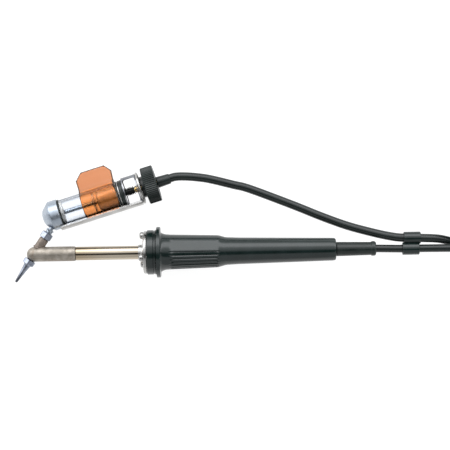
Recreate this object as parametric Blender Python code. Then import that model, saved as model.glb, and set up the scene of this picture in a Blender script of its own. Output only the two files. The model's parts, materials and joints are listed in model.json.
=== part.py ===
"""Heated vacuum desoldering iron with its solder container, vacuum hose and power cable.

Metres, +Z up. The tool lies on its side. The handle's axis runs along X with the nozzle
at -X, the solder container stands towards +Y, and the flange's rim and the coiled cords
rest on the plane Z = 0. Each group of turned parts hangs from an empty whose Z axis is
the group's own axis, so a part's outline is given as (radius, distance along that axis).
"""

import math

import bmesh
import bpy
from mathutils import Matrix, Vector

MM = 0.001
CLEAR = 0.3 * MM

# Handle
FLANGE_R = 17.75 * MM
HANDLE_X = -25.6 * MM
HANDLE_Y = -20.9 * MM
GRIP_R = 12.4 * MM
GRIP_END_R = 11.35 * MM
TAIL_R = 9.87 * MM
TAIL_END_R = 7.98 * MM
GRIP_END = 40.6 * MM
TAIL_START = 47.0 * MM
HANDLE_END = 123.9 * MM
GRIP_BORE_R = 9.3 * MM
GRIP_BORE_END = 37.0 * MM
TAIL_BORE_R = 6.3 * MM
TAIL_BORE_START = 39.0 * MM
CABLE_HOLE_R = 4.0 * MM
CABLE_HOLE_START = 117.9 * MM
PANEL_START = 8.0 * MM
PANEL_TILT = math.radians(25)
PANEL_HALF_ANGLE = math.radians(20)
COLLAR_R = 15.6 * MM
COLLAR_BORE_R = 7.0 * MM
COLLAR_FRONT = -8.9 * MM
COLLAR_BACK = -1.7 * MM
PLATE_FRONT = -10.6 * MM
PLATE_R = 14.7 * MM
SCREW_RING_R = 12.1 * MM
SCREW_HEAD_R = 2.55 * MM
SCREW_HEAD_H = 2.6 * MM
SCREW_SHANK_R = 1.4 * MM
SCREW_REACH = 5.0 * MM
SCREW_ANGLES = [math.radians(first - 13.5) for first in (0, 120, 240)]
BOOT_START = 113.5 * MM
BOOT_END = 151.9 * MM
BOOT_R = 5.1 * MM
CLAMP_START = 102.0 * MM
CLAMP_LENGTH = 8.0 * MM
BOARD_START = 24.0 * MM
BOARD_LENGTH = 26.0 * MM
BOARD_WIDTH = 10.4 * MM
BOARD_THICK = 1.6 * MM

# Hot end
BARREL_R = 4.8 * MM
BARREL_WALL = 0.6 * MM
BARREL_BACK = 10.0 * MM
FOOT_FRONT = -14.2 * MM
ELEMENT_R = 2.6 * MM
ELEMENT_FRONT = -79.0 * MM
ELEMENT_BACK = -26.0 * MM
HEAD_R = 5.2 * MM
HEAD_BACK = -58.1 * MM
NOZZLE_CROSSING = -87.15 * MM
NOZZLE_ANGLE = math.radians(55.5)
TUBE_R = 3.33 * MM
TUBE_START = 2.7 * MM
TUBE_SHELF = 7.7 * MM
TUBE_END = 12.9 * MM
SUCTION_BORE_R = 1.2 * MM
PIPE_R = 1.75 * MM
PIPE_BORE_R = 1.1 * MM
PIPE_END = 24.6 * MM
NUT_END = 17.0 * MM
NUT_FLATS = 7.9 * MM
NOZZLE_FLATS = 8.0 * MM
NOZZLE_SHANK_R = 2.2 * MM
NOZZLE_SHANK_END = -4.7 * MM
NOZZLE_TIP = -23.2 * MM

# Solder container, measured from the front seal along its own axis
CONTAINER_AT = (-67.97 * MM, 28.42 * MM)
CONTAINER_ANGLE = math.radians(16.7)
GLASS_R = 9.3 * MM
GLASS_WALL = 1.4 * MM
GLASS_FRONT = 1.05 * MM
GLASS_BACK = 42.0 * MM
CAP_R = 10.43 * MM
CAP_FRONT = -13.1 * MM
CAP_HOLLOW_R = 7.6 * MM
BAFFLE_R = 7.4 * MM
BAFFLE_BACK = 25.2 * MM
FILTER_R = 7.5 * MM
FILTER_FRONT = 27.3 * MM
FILTER_BACK = 41.8 * MM
RAIL_INNER_R = 10.75 * MM
RAIL_OUTER_R = 11.8 * MM
RAIL_HALF_ANGLE = math.radians(38)
RAIL_FRONT = -2.6 * MM
FILM_INNER_R = 9.6 * MM
FILM_OUTER_R = 9.95 * MM
FILM_FRONT = 16.4 * MM
FLAG_TOP = 22.9 * MM
CAGE_INNER_R = 10.0 * MM
CAGE_OUTER_R = 10.6 * MM
CAGE_FRONT = 46.9 * MM
CAGE_BACK = 57.1 * MM
WINDOW_HALF = 8.8 * MM
WINDOW_MARGIN = 0.7 * MM
BUSH_R = 2.5 * MM
BUSH_FRONT = 54.6 * MM
BUSH_BACK = 58.8 * MM
BACK_PLATE_R = 11.4 * MM
BACK_PLATE_BACK = 59.1 * MM
KNOB_R = 12.95 * MM
KNOB_FRONT = 61.7 * MM
KNOB_BACK = 70.5 * MM
KNOB_SHELF = 66.6 * MM
SLEEVE_END = 80.0 * MM
SPINDLE_R = 1.6 * MM
SPRING_R = 2.45 * MM
SPRING_WIRE_R = 0.3 * MM
SPRING_TURNS = 7

# Cords. The coils lie on Z = 0, held just clear of it by their ties.
HOSE_R = 3.0 * MM
CABLE_R = 2.75 * MM
COIL_X = 254.0 * MM
COIL_Y = 40.0 * MM
COIL_INNER_R = 22.0 * MM
COIL_OUTER_R = 44.0 * MM
COIL_LIFT = 1.7 * MM
HOSE_COIL_H = 12.3 * MM
CABLE_COIL_H = 11.4 * MM
TIE_THICK = 1.3 * MM
TIE_WIDTH = 16.0 * MM
TIE_INNER_R = 18.9 * MM
TIE_ANGLES = [math.radians(105), math.radians(200)]
CLIP_AT = 176.6 * MM
CLIP_LENGTH = 11.9 * MM
CLIP_SHIFT = 1.0 * MM
PLUG_R = 8.5 * MM
PLUG_LENGTH = 38.0 * MM
PLUG_NECK_R = 7.0 * MM
PLUG_SOCKET_R = 5.8 * MM
PLUG_SOCKET_END = 30.0 * MM
PLUG_LINE_R = 31.0 * MM
COUPLING_R = 5.2 * MM
COUPLING_LENGTH = 26.0 * MM
COUPLING_LINE_R = 50.0 * MM
STEP_PER_RADIUS = 4

# Colour, roughness, metallic, alpha
LOOKS = {
    "black plastic": ((0.022, 0.024, 0.026), 0.4, 0.0, 1.0),
    "black rubber": ((0.016, 0.017, 0.018), 0.6, 0.0, 1.0),
    "dark cord": ((0.02, 0.021, 0.023), 0.5, 0.0, 1.0),
    "tan metal": ((0.45, 0.38, 0.3), 0.5, 0.8, 1.0),
    "polished steel": ((0.6, 0.57, 0.52), 0.18, 1.0, 1.0),
    "drawn metal": ((0.62, 0.61, 0.58), 0.3, 1.0, 1.0),
    "blue aluminium": ((0.52, 0.57, 0.64), 0.35, 0.9, 1.0),
    "nozzle metal": ((0.4, 0.45, 0.52), 0.3, 1.0, 1.0),
    "ceramic": ((0.8, 0.77, 0.7), 0.6, 0.0, 1.0),
    "white filter": ((0.85, 0.83, 0.78), 0.9, 0.0, 1.0),
    "glass": ((0.9, 0.94, 0.96), 0.03, 0.0, 0.3),
    "orange film": ((0.8, 0.32, 0.1), 0.25, 0.0, 0.65),
    "brass": ((0.7, 0.5, 0.22), 0.3, 1.0, 1.0),
    "green board": ((0.05, 0.2, 0.1), 0.5, 0.0, 1.0),
    "spring steel": ((0.05, 0.05, 0.055), 0.4, 0.8, 1.0),
}


def clear_scene():
    for obj in list(bpy.data.objects):
        bpy.data.objects.remove(obj)


def axis_empty(name, at, angle):
    """An empty whose Z axis points along +X turned by angle towards +Y, with its own Y up."""
    along = Vector((math.cos(angle), math.sin(angle), 0))
    across = Vector((-math.sin(angle), math.cos(angle), 0))
    turn = Matrix((across, (0, 0, 1), along)).transposed().to_4x4()
    empty = bpy.data.objects.new(name, None)
    empty.empty_display_size = 0.01
    empty.matrix_world = Matrix.Translation(at) @ turn
    bpy.context.scene.collection.objects.link(empty)
    return empty


def dress(obj, look):
    colour, roughness, metallic, alpha = LOOKS[look]
    material = bpy.data.materials.new(obj.name)
    material.use_nodes = True
    shader = material.node_tree.nodes["Principled BSDF"]
    shader.inputs["Base Color"].default_value = (*colour, 1)
    shader.inputs["Roughness"].default_value = roughness
    shader.inputs["Metallic"].default_value = metallic
    shader.inputs["Alpha"].default_value = alpha
    obj.data.materials.append(material)


def add_object(name, data, parent, look=None):
    obj = bpy.data.objects.new(name, data)
    bpy.context.scene.collection.objects.link(obj)
    obj.parent = parent
    if look:
        dress(obj, look)
    return obj


def mesh_from(name, bm, smooth=True):
    bmesh.ops.recalc_face_normals(bm, faces=bm.faces)
    mesh = bpy.data.meshes.new(name)
    bm.to_mesh(mesh)
    bm.free()
    if smooth:
        mesh.shade_smooth()
        mesh.set_sharp_from_angle(angle=math.radians(35))
    return mesh


def turned(name, outline, parent, look=None, sides=32, offset=(0, 0), reshape=None):
    """Turns (radius, distance) points about the parent's Z axis.

    An outline that starts and ends on the axis is left open, any other is a closed ring.
    reshape, if given, returns a new radius from a point's angle, radius and distance.
    """
    bm = bmesh.new()
    points = [bm.verts.new((r, 0, z)) for r, z in outline]
    edges = [bm.edges.new(pair) for pair in zip(points, points[1:])]
    if outline[0][0] > 0:
        edges.append(bm.edges.new((points[-1], points[0])))
    bmesh.ops.spin(
        bm, geom=points + edges, cent=(0, 0, 0), axis=(0, 0, 1), angle=math.tau, steps=sides, use_merge=True
    )
    bmesh.ops.remove_doubles(bm, verts=bm.verts, dist=1e-7)
    for point in bm.verts if reshape else ():
        radius = math.hypot(point.co.x, point.co.y)
        if radius > 0:
            angle = math.atan2(point.co.y, point.co.x)
            factor = reshape(angle, radius, point.co.z) / radius
            point.co.x *= factor
            point.co.y *= factor
    bmesh.ops.translate(bm, verts=bm.verts, vec=(*offset, 0))
    return add_object(name, mesh_from(name, bm), parent, look)


def rod(radius, start, end):
    return [(0, start), (radius, start), (radius, end), (0, end)]


def tube(outer, inner, start, end):
    return [(outer, start), (outer, end), (inner, end), (inner, start)]


def hexagon(flats, from_radius):
    """A reshape that pulls the outer points onto a hexagon."""

    def reshape(angle, radius, z):
        if radius < from_radius:
            return radius
        sector = (angle + math.pi / 6) % (math.pi / 3) - math.pi / 6
        return flats / 2 / math.cos(sector)

    return reshape


def use_tool(obj, tool, operation):
    """Cuts with, or joins on, a hidden tool object."""
    tool.hide_render = True
    tool.display_type = "WIRE"
    modifier = obj.modifiers.new(tool.name, "BOOLEAN")
    modifier.operation = operation
    modifier.object = tool


def bore(obj, radius, start, end, parent, sides=24, offset=(0, 0)):
    name = f"{obj.name}_bore_{len(obj.modifiers)}"
    use_tool(obj, turned(name, rod(radius, start, end), parent, sides=sides, offset=offset), "DIFFERENCE")


def block(name, low, high, parent, look=None):
    bm = bmesh.new()
    bmesh.ops.create_cube(bm, size=1)
    low = Vector(low)
    high = Vector(high)
    bmesh.ops.scale(bm, verts=bm.verts, vec=high - low)
    bmesh.ops.translate(bm, verts=bm.verts, vec=(low + high) / 2)
    return add_object(name, mesh_from(name, bm, smooth=False), parent, look)


def framed_prism(name, outer, inner, low, high, parent, look=None):
    """Extrudes the strip between two outlines with the same number of points along Z."""
    bm = bmesh.new()
    count = len(outer)
    rings = [
        [bm.verts.new((x, y, z)) for x, y in outline]
        for outline, z in ((outer, low), (outer, high), (inner, high), (inner, low))
    ]
    for ring, following in zip(rings, rings[1:] + rings[:1]):
        for k in range(count):
            after = (k + 1) % count
            bm.faces.new((ring[k], ring[after], following[after], following[k]))
    return add_object(name, mesh_from(name, bm), parent, look)


def plate_prism(name, outline, low, high, parent, look=None):
    """Extrudes an (x, z) outline along the parent's Y axis."""
    bm = bmesh.new()
    face = bm.faces.new([bm.verts.new((x, low, z)) for x, z in outline])
    moved = bmesh.ops.extrude_face_region(bm, geom=[face])
    corners = [item for item in moved["geom"] if isinstance(item, bmesh.types.BMVert)]
    bmesh.ops.translate(bm, verts=corners, vec=(0, high - low, 0))
    return add_object(name, mesh_from(name, bm, smooth=False), parent, look)


def spline_point(a, b, c, d, t):
    """A point between b and c on the smooth curve through all four."""
    return 0.5 * (
        2 * b + (c - a) * t + (2 * a - 5 * b + 4 * c - d) * t**2 + (3 * b - a - 3 * c + d) * t**3
    )


def smooth_route(route, step):
    """Points about one step apart on a smooth curve through the route's points."""
    route = [Vector(point) for point in route]
    ends = [2 * route[0] - route[1], *route, 2 * route[-1] - route[-2]]
    fine = [
        spline_point(*ends[k : k + 4], part / 24) for k in range(len(route) - 1) for part in range(24)
    ]
    fine.append(route[-1])
    lengths = [0.0]
    for before, after in zip(fine, fine[1:]):
        lengths.append(lengths[-1] + (after - before).length)
    count = max(2, round(lengths[-1] / step))
    spaced = []
    k = 0
    for part in range(count + 1):
        target = lengths[-1] * part / count
        while k < len(fine) - 2 and lengths[k + 1] < target:
            k += 1
        share = (target - lengths[k]) / (lengths[k + 1] - lengths[k])
        spaced.append(fine[k].lerp(fine[k + 1], share))
    return spaced


def cord(name, route, radius, look, resolution=2, step=None):
    """A round cord with flat ends along a smooth curve through the route's points."""
    points = smooth_route(route, step or STEP_PER_RADIUS * radius)
    curve = bpy.data.curves.new(name, "CURVE")
    curve.dimensions = "3D"
    curve.bevel_depth = radius
    curve.bevel_resolution = resolution
    curve.use_fill_caps = True
    spline = curve.splines.new("POLY")
    spline.points.add(len(points) - 1)
    for target, point in zip(spline.points, points):
        target.co = (*point, 1)
    return add_object(name, curve, None, look)


def in_world(x, y, height):
    """A point given from the handle's flange, with its height above the bench."""
    return (HANDLE_X + x, HANDLE_Y + y, height)


# Handle ------------------------------------------------------------------------------


def grip_outline():
    """Flange, fillet, grip, step and tail outside, then the stepped bore back to the front."""
    rim = 0.5 * MM
    half = 1.4 * MM
    fillet_r = 5.0 * MM
    outline = [
        (FLANGE_R - rim, -half),
        (FLANGE_R, rim - half),
        (FLANGE_R, half - rim),
        (FLANGE_R - rim, half),
    ]
    for k in range(5):
        sweep = math.radians(90 * k / 4)
        outline.append(
            (
                GRIP_R + 0.45 * fillet_r * (1 - math.sin(sweep)),
                half + 1.1 * fillet_r * (1 - math.cos(sweep)),
            )
        )
    outline += [
        (GRIP_R - 0.2 * MM, 14 * MM),
        (GRIP_END_R, GRIP_END),
        (0.5 * (GRIP_END_R + TAIL_R), 0.5 * (GRIP_END + TAIL_START)),
        (TAIL_R, TAIL_START),
        (9.38 * MM, 56 * MM),
        (8.79 * MM, 84 * MM),
        (TAIL_END_R, HANDLE_END - 1.2 * MM),
        (TAIL_END_R - 0.7 * MM, HANDLE_END),
        (CABLE_HOLE_R, HANDLE_END),
        (CABLE_HOLE_R, CABLE_HOLE_START),
        (TAIL_BORE_R, CABLE_HOLE_START),
        (TAIL_BORE_R, TAIL_BORE_START),
        (GRIP_BORE_R, GRIP_BORE_END),
        (GRIP_BORE_R, CLEAR - half),
        (COLLAR_R + CLEAR, CLEAR - half),
        (COLLAR_R + CLEAR, -half),
    ]
    return outline


def flat_panel(angle, radius, z):
    """Flattens the panel on the grip's side, tilted towards the container."""
    off = abs((angle - math.pi / 2 + PANEL_TILT + math.pi) % math.tau - math.pi)
    if radius < 10.5 * MM or not PANEL_START < z <= GRIP_END or off > PANEL_HALF_ANGLE + 0.01:
        return radius
    return radius * math.cos(PANEL_HALF_ANGLE) / math.cos(off)


def make_handle(handle):
    turned("handle_grip", grip_outline(), handle, "black plastic", sides=36, reshape=flat_panel)
    collar = tube(COLLAR_R, COLLAR_BORE_R, COLLAR_FRONT, COLLAR_BACK)
    collar = turned("front_collar", collar, handle, "black plastic")
    plate_back = COLLAR_FRONT - CLEAR
    hole_r = BARREL_R + 2 * CLEAR
    rim = 0.5 * MM
    plate_outline = [
        (hole_r, PLATE_FRONT),
        (PLATE_R - rim, PLATE_FRONT),
        (PLATE_R, PLATE_FRONT + rim),
        (PLATE_R, plate_back),
        (hole_r, plate_back),
    ]
    plate = turned("front_plate", plate_outline, handle, "drawn metal")
    for number, angle in enumerate(SCREW_ANGLES, 1):
        spot = (SCREW_RING_R * math.cos(angle), SCREW_RING_R * math.sin(angle))
        hole = SCREW_SHANK_R + CLEAR
        bore(plate, hole, PLATE_FRONT - MM, plate_back + MM, handle, 12, spot)
        bore(collar, hole, COLLAR_FRONT - MM, COLLAR_FRONT + SCREW_REACH + CLEAR, handle, 12, spot)
        under = PLATE_FRONT - CLEAR
        screw = [
            (0, under - SCREW_HEAD_H),
            (0.75 * SCREW_HEAD_R, under - SCREW_HEAD_H),
            (SCREW_HEAD_R, under - 0.6 * SCREW_HEAD_H),
            (SCREW_HEAD_R, under),
            (SCREW_SHANK_R, under),
            (SCREW_SHANK_R, COLLAR_FRONT + SCREW_REACH),
            (0, COLLAR_FRONT + SCREW_REACH),
        ]
        turned(f"front_screw_{number}", screw, handle, "drawn metal", sides=16, offset=spot)


def make_handle_inside(handle):
    carrier = tube(GRIP_BORE_R - CLEAR, BARREL_R + CLEAR, -0.8 * MM, 14 * MM)
    turned("insulating_carrier", carrier, handle, "ceramic", sides=24)
    low = (-BOARD_WIDTH / 2, -BOARD_THICK / 2, BOARD_START)
    high = (BOARD_WIDTH / 2, BOARD_THICK / 2, BOARD_START + BOARD_LENGTH)
    block("terminal_board", low, high, handle, "green board")
    leads = [(-14, 0, 0), (-6, 0.4, 0.2), (6, 0.2, 0.9), (18, 0, 2.6), (30, 0, 2.4)]
    route = [in_world(x * MM, y * MM, FLANGE_R + z * MM) for x, y, z in leads]
    cord("heater_leads", route, 1.1 * MM, "ceramic", step=5 * MM)
    clamp = tube(TAIL_BORE_R - CLEAR, CABLE_R + CLEAR, CLAMP_START, CLAMP_START + CLAMP_LENGTH)
    turned("cable_clamp", clamp, handle, "black plastic", sides=20)


def make_strain_relief(handle):
    """A boot with a bead at its end, and a neck and a flange that hold it in the handle."""
    inside_r = TAIL_BORE_R - CLEAR
    neck_r = CABLE_HOLE_R - CLEAR
    start = HANDLE_END + CLEAR
    bead = 3.4 * MM
    outline = [
        (inside_r, BOOT_START),
        (inside_r, CABLE_HOLE_START - CLEAR),
        (neck_r, CABLE_HOLE_START - CLEAR),
        (neck_r, start),
        (BOOT_R, start),
        (0.9 * BOOT_R, BOOT_END - bead),
        (BOOT_R, BOOT_END - bead + 0.6 * MM),
        (BOOT_R, BOOT_END - 0.8 * MM),
        (0.9 * BOOT_R, BOOT_END),
        (CABLE_R + CLEAR, BOOT_END),
        (CABLE_R + CLEAR, BOOT_START),
    ]
    turned("strain_relief", outline, handle, "black rubber", sides=24)


# Hot end -----------------------------------------------------------------------------


def make_barrel(handle):
    barrel = tube(BARREL_R, BARREL_R - BARREL_WALL, HEAD_BACK + CLEAR, BARREL_BACK)
    turned("heater_barrel", barrel, handle, "polished steel")
    foot = [
        (BARREL_R + CLEAR, FOOT_FRONT),
        (BARREL_R + 0.65 * MM, FOOT_FRONT),
        (BARREL_R + 0.95 * MM, PLATE_FRONT - CLEAR),
        (BARREL_R + CLEAR, PLATE_FRONT - CLEAR),
    ]
    turned("barrel_collar", foot, handle, "drawn metal")
    turned("heating_element", rod(ELEMENT_R, ELEMENT_FRONT, ELEMENT_BACK), handle, "ceramic", sides=20)
    probe = rod(0.45 * MM, -54 * MM, -22 * MM)
    turned("temperature_sensor", probe, handle, "ceramic", sides=8, offset=(-3.4 * MM, 0))


def head_outline():
    """A bar with a round end, centred where the nozzle's axis crosses it."""
    outline = []
    for k in range(7):
        sweep = math.radians(90 * k / 6)
        outline.append((HEAD_R * math.sin(sweep), NOZZLE_CROSSING - HEAD_R * math.cos(sweep)))
    edge = 0.4 * MM
    return outline + [(HEAD_R, HEAD_BACK - edge), (HEAD_R - edge, HEAD_BACK), (0, HEAD_BACK)]


def make_head(handle, nozzle_axis):
    head = turned("heater_head", head_outline(), handle, "tan metal")
    bore(head, ELEMENT_R + CLEAR, ELEMENT_FRONT - 0.4 * MM, HEAD_BACK + MM, handle)
    bore(head, TUBE_R + CLEAR, TUBE_START - CLEAR, 12 * MM, nozzle_axis)
    bore(head, SUCTION_BORE_R, -3 * MM, 5 * MM, nozzle_axis, sides=16)
    bore(head, NOZZLE_SHANK_R + CLEAR, -8 * MM, -0.7 * MM, nozzle_axis)
    bore(head, 2 * HEAD_R, -12 * MM, NOZZLE_SHANK_END + CLEAR, nozzle_axis)
    inside = PIPE_R + CLEAR
    stub = [
        (SUCTION_BORE_R, TUBE_START),
        (TUBE_R, TUBE_START),
        (TUBE_R, TUBE_END),
        (inside, TUBE_END),
        (inside, TUBE_SHELF),
        (SUCTION_BORE_R, TUBE_SHELF),
    ]
    turned("suction_tube", stub, nozzle_axis, "tan metal", sides=24)
    nut_start = TUBE_END + CLEAR
    edge = 0.35 * MM
    nut = [
        (NUT_FLATS / 2 - edge, nut_start),
        (NUT_FLATS / 2, nut_start + edge),
        (NUT_FLATS / 2, NUT_END - edge),
        (NUT_FLATS / 2 - edge, NUT_END),
        (inside, NUT_END),
        (inside, nut_start),
    ]
    rounded = hexagon(NUT_FLATS, NUT_FLATS / 2 - edge / 2)
    turned("union_nut", nut, nozzle_axis, "nozzle metal", sides=24, reshape=rounded)
    pipe = tube(PIPE_R, PIPE_BORE_R, TUBE_SHELF + CLEAR, PIPE_END)
    turned("inlet_pipe", pipe, nozzle_axis, "blue aluminium", sides=16)


def make_nozzle(nozzle_axis):
    """Threaded shank in the head, hexagon, cone and tip, bored right through."""
    hex_r = NOZZLE_FLATS / 2
    outline = [
        (0.75 * MM, -1.0 * MM),
        (NOZZLE_SHANK_R, -1.0 * MM),
        (NOZZLE_SHANK_R, NOZZLE_SHANK_END),
        (hex_r, NOZZLE_SHANK_END),
        (hex_r, -8.2 * MM),
        (hex_r - 0.6 * MM, -8.6 * MM),
        (2.35 * MM, -8.7 * MM),
        (1.35 * MM, -17.5 * MM),
        (0.92 * MM, NOZZLE_TIP + 0.8 * MM),
        (0.8 * MM, NOZZLE_TIP),
        (0.5 * MM, NOZZLE_TIP),
        (0.5 * MM, -16 * MM),
    ]
    reshape = hexagon(NOZZLE_FLATS, hex_r - 0.1 * MM)
    turned("desoldering_nozzle", outline, nozzle_axis, "nozzle metal", sides=24, reshape=reshape)


# Solder container --------------------------------------------------------------------


def make_container_front(container, nozzle_axis):
    outline = [
        (0, CAP_FRONT),
        (3.4 * MM, CAP_FRONT + 0.3 * MM),
        (5.6 * MM, -11.83 * MM),
        (10.6 * MM, -6.7 * MM),
        (CAP_R, -6.0 * MM),
        (CAP_R, -CLEAR),
        (CAP_HOLLOW_R, -CLEAR),
        (CAP_HOLLOW_R, -5.5 * MM),
        (3.0 * MM, -9.5 * MM),
        (0, -9.5 * MM),
    ]
    cap = turned("inlet_cap", outline, container, "blue aluminium")
    bore(cap, PIPE_R + CLEAR, 18 * MM, 27 * MM, nozzle_axis, sides=16)
    seal = tube(9.8 * MM, 7.0 * MM, 0, GLASS_FRONT - CLEAR)
    turned("front_seal", seal, container, "black rubber")
    inner_r = GLASS_R - GLASS_WALL
    insert = tube(inner_r - CLEAR, 5.8 * MM, GLASS_FRONT, 2.8 * MM)
    turned("front_insert", insert, container, "ceramic", sides=24)
    glass = tube(GLASS_R, inner_r, GLASS_FRONT, GLASS_BACK)
    turned("glass_tube", glass, container, "glass")


def make_container_inside(container):
    """A deflector disc on a short stem, and the filter behind it."""
    baffle = [
        (0, 23.2 * MM),
        (2.0 * MM, 23.2 * MM),
        (BAFFLE_R, BAFFLE_BACK - 0.6 * MM),
        (BAFFLE_R, BAFFLE_BACK),
        (1.5 * MM, BAFFLE_BACK),
        (1.5 * MM, 26.9 * MM),
        (0, 26.9 * MM),
    ]
    turned("solder_baffle", baffle, container, "drawn metal", sides=24)
    filter_body = [
        (0, FILTER_FRONT),
        (FILTER_R - 0.9 * MM, FILTER_FRONT),
        (FILTER_R, FILTER_FRONT + 1.1 * MM),
        (FILTER_R, FILTER_BACK),
        (0, FILTER_BACK),
    ]
    turned("filter_cartridge", filter_body, container, "white filter", sides=24)


def make_shield(container):
    """Film rolled round the glass, its two ends laid together as a flag."""
    sleeve = tube(FILM_OUTER_R, FILM_INNER_R, FILM_FRONT, GLASS_BACK)
    sleeve = turned("heat_shield", sleeve, container, "orange film")
    inside = FILM_INNER_R + 0.15 * MM
    flag = [
        (inside, FILM_FRONT + 0.2 * MM),
        (18.3 * MM, 16.7 * MM),
        (FLAG_TOP, 21.7 * MM),
        (FLAG_TOP, 38.6 * MM),
        (17.6 * MM, 42.7 * MM),
        (inside, GLASS_BACK - 0.2 * MM),
    ]
    half = 0.35 * MM
    use_tool(sleeve, plate_prism("shield_flag", flag, -half, half, container), "UNION")


def rail_outline():
    """A shallow trough on the side towards the barrel."""
    arc = [math.pi + RAIL_HALF_ANGLE * (k / 6 - 1) for k in range(13)]
    outer = [(RAIL_OUTER_R * math.cos(a), RAIL_OUTER_R * math.sin(a)) for a in arc]
    inner = [(RAIL_INNER_R * math.cos(a), RAIL_INNER_R * math.sin(a)) for a in arc]
    return outer + inner[::-1]


def make_rail(container):
    bm = bmesh.new()
    face = bm.faces.new([bm.verts.new((x, y, RAIL_FRONT)) for x, y in rail_outline()])
    moved = bmesh.ops.extrude_face_region(bm, geom=[face])
    corners = [item for item in moved["geom"] if isinstance(item, bmesh.types.BMVert)]
    bmesh.ops.translate(bm, verts=corners, vec=(0, 0, CAGE_BACK - RAIL_FRONT))
    add_object("container_rail", mesh_from("container_rail", bm), container, "drawn metal")


def make_container_back(container):
    """Seal stack, spindle, spring, bush, windowed cage and dished plate."""
    gasket_start = GLASS_BACK + CLEAR
    turned("rear_gasket", tube(9.6 * MM, 6 * MM, gasket_start, 43.0 * MM), container, "black rubber")
    turned("seal_washer", tube(9.4 * MM, 5 * MM, 43.3 * MM, 43.8 * MM), container, "drawn metal")
    disc_front = 44.1 * MM
    disc_back = CAGE_FRONT - CLEAR
    disc = tube(9.66 * MM, SPINDLE_R + CLEAR, disc_front, disc_back)
    turned("seal_disc", disc, container, "black rubber")
    spindle = tube(SPINDLE_R, 1.0 * MM, 43.9 * MM, 66 * MM)
    turned("plunger_stem", spindle, container, "brass", sides=16)
    bush = tube(BUSH_R, SPINDLE_R + 0.15 * MM, BUSH_FRONT, BUSH_BACK)
    turned("spindle_bush", bush, container, "brass", sides=16)
    cage = tube(CAGE_OUTER_R, CAGE_INNER_R, CAGE_FRONT, CAGE_BACK)
    cage = turned("rear_cage", cage, container, "drawn metal")
    window_low = (-WINDOW_HALF, -2 * CAGE_OUTER_R, CAGE_FRONT + WINDOW_MARGIN)
    window_high = (WINDOW_HALF, 2 * CAGE_OUTER_R, CAGE_BACK - WINDOW_MARGIN)
    use_tool(cage, block("cage_window", window_low, window_high, container), "DIFFERENCE")
    hole_r = BUSH_R + CLEAR
    plate_start = CAGE_BACK + CLEAR
    plate = [
        (hole_r, plate_start),
        (BACK_PLATE_R - 0.3 * MM, plate_start),
        (BACK_PLATE_R, plate_start + 0.4 * MM),
        (BACK_PLATE_R, BACK_PLATE_BACK - 0.4 * MM),
        (BACK_PLATE_R - 0.8 * MM, BACK_PLATE_BACK),
        (hole_r, BACK_PLATE_BACK - 0.5 * MM),
    ]
    turned("rear_plate", plate, container, "drawn metal")


def make_spring(container):
    """A compression spring between the seal disc and the bush, closed with a spare end each way."""
    start = CAGE_FRONT + SPRING_WIRE_R
    end = BUSH_FRONT - CLEAR - SPRING_WIRE_R
    steps = 12 * SPRING_TURNS
    bm = bmesh.new()
    rings = []
    for k in range(steps + 1):
        angle = math.tau * SPRING_TURNS * k / steps
        out = Vector((math.cos(angle), math.sin(angle), 0))
        centre = SPRING_R * out + Vector((0, 0, start + (end - start) * k / steps))
        ring = []
        for corner in range(6):
            sweep = math.tau * corner / 6
            ring.append(
                bm.verts.new(
                    centre
                    + SPRING_WIRE_R * math.cos(sweep) * out
                    + Vector((0, 0, SPRING_WIRE_R * math.sin(sweep)))
                )
            )
        rings.append(ring)
    for before, after in zip(rings, rings[1:]):
        for corner in range(6):
            following = (corner + 1) % 6
            bm.faces.new((before[corner], before[following], after[following], after[corner]))
    bm.faces.new(rings[0][::-1])
    bm.faces.new(rings[-1])
    add_object("return_spring", mesh_from("return_spring", bm), container, "spring steel")


def knurl(angle, radius, z):
    """Shallow grooves round the knob's rim."""
    tooth = round(angle / (math.tau / 48)) % 2
    if radius < KNOB_R - 0.6 * MM or tooth:
        return radius
    return radius - 0.45 * MM


def make_knob(container):
    hub_front = BACK_PLATE_BACK + CLEAR
    inside = SPINDLE_R + CLEAR
    neck_r = 3.1 * MM
    outline = [
        (inside, hub_front),
        (7.5 * MM, hub_front),
        (7.5 * MM, KNOB_FRONT),
        (KNOB_R - 0.8 * MM, KNOB_FRONT),
        (KNOB_R, KNOB_FRONT + 0.8 * MM),
        (KNOB_R, KNOB_BACK - 0.8 * MM),
        (KNOB_R - 0.8 * MM, KNOB_BACK),
        (neck_r, KNOB_BACK),
        (neck_r, KNOB_SHELF),
        (inside, KNOB_SHELF),
    ]
    turned("release_knob", outline, container, "black plastic", sides=48, reshape=knurl)
    nipple = tube(2.0 * MM, 1.3 * MM, KNOB_SHELF + CLEAR, 78 * MM)
    turned("hose_nipple", nipple, container, "brass", sides=16)
    sleeve = [
        (HOSE_R + CLEAR, KNOB_BACK + CLEAR),
        (3.9 * MM, KNOB_BACK + CLEAR),
        (3.55 * MM, SLEEVE_END),
        (HOSE_R + CLEAR, SLEEVE_END),
    ]
    turned("hose_sleeve", sleeve, container, "black rubber", sides=20)


# Cords -------------------------------------------------------------------------------


def on_coil(angle_deg, radius, height):
    """A point round the coils' centre, with its height above the bench."""
    angle = math.radians(angle_deg)
    return in_world(COIL_X + radius * math.cos(angle), COIL_Y + radius * math.sin(angle), height)


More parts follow.
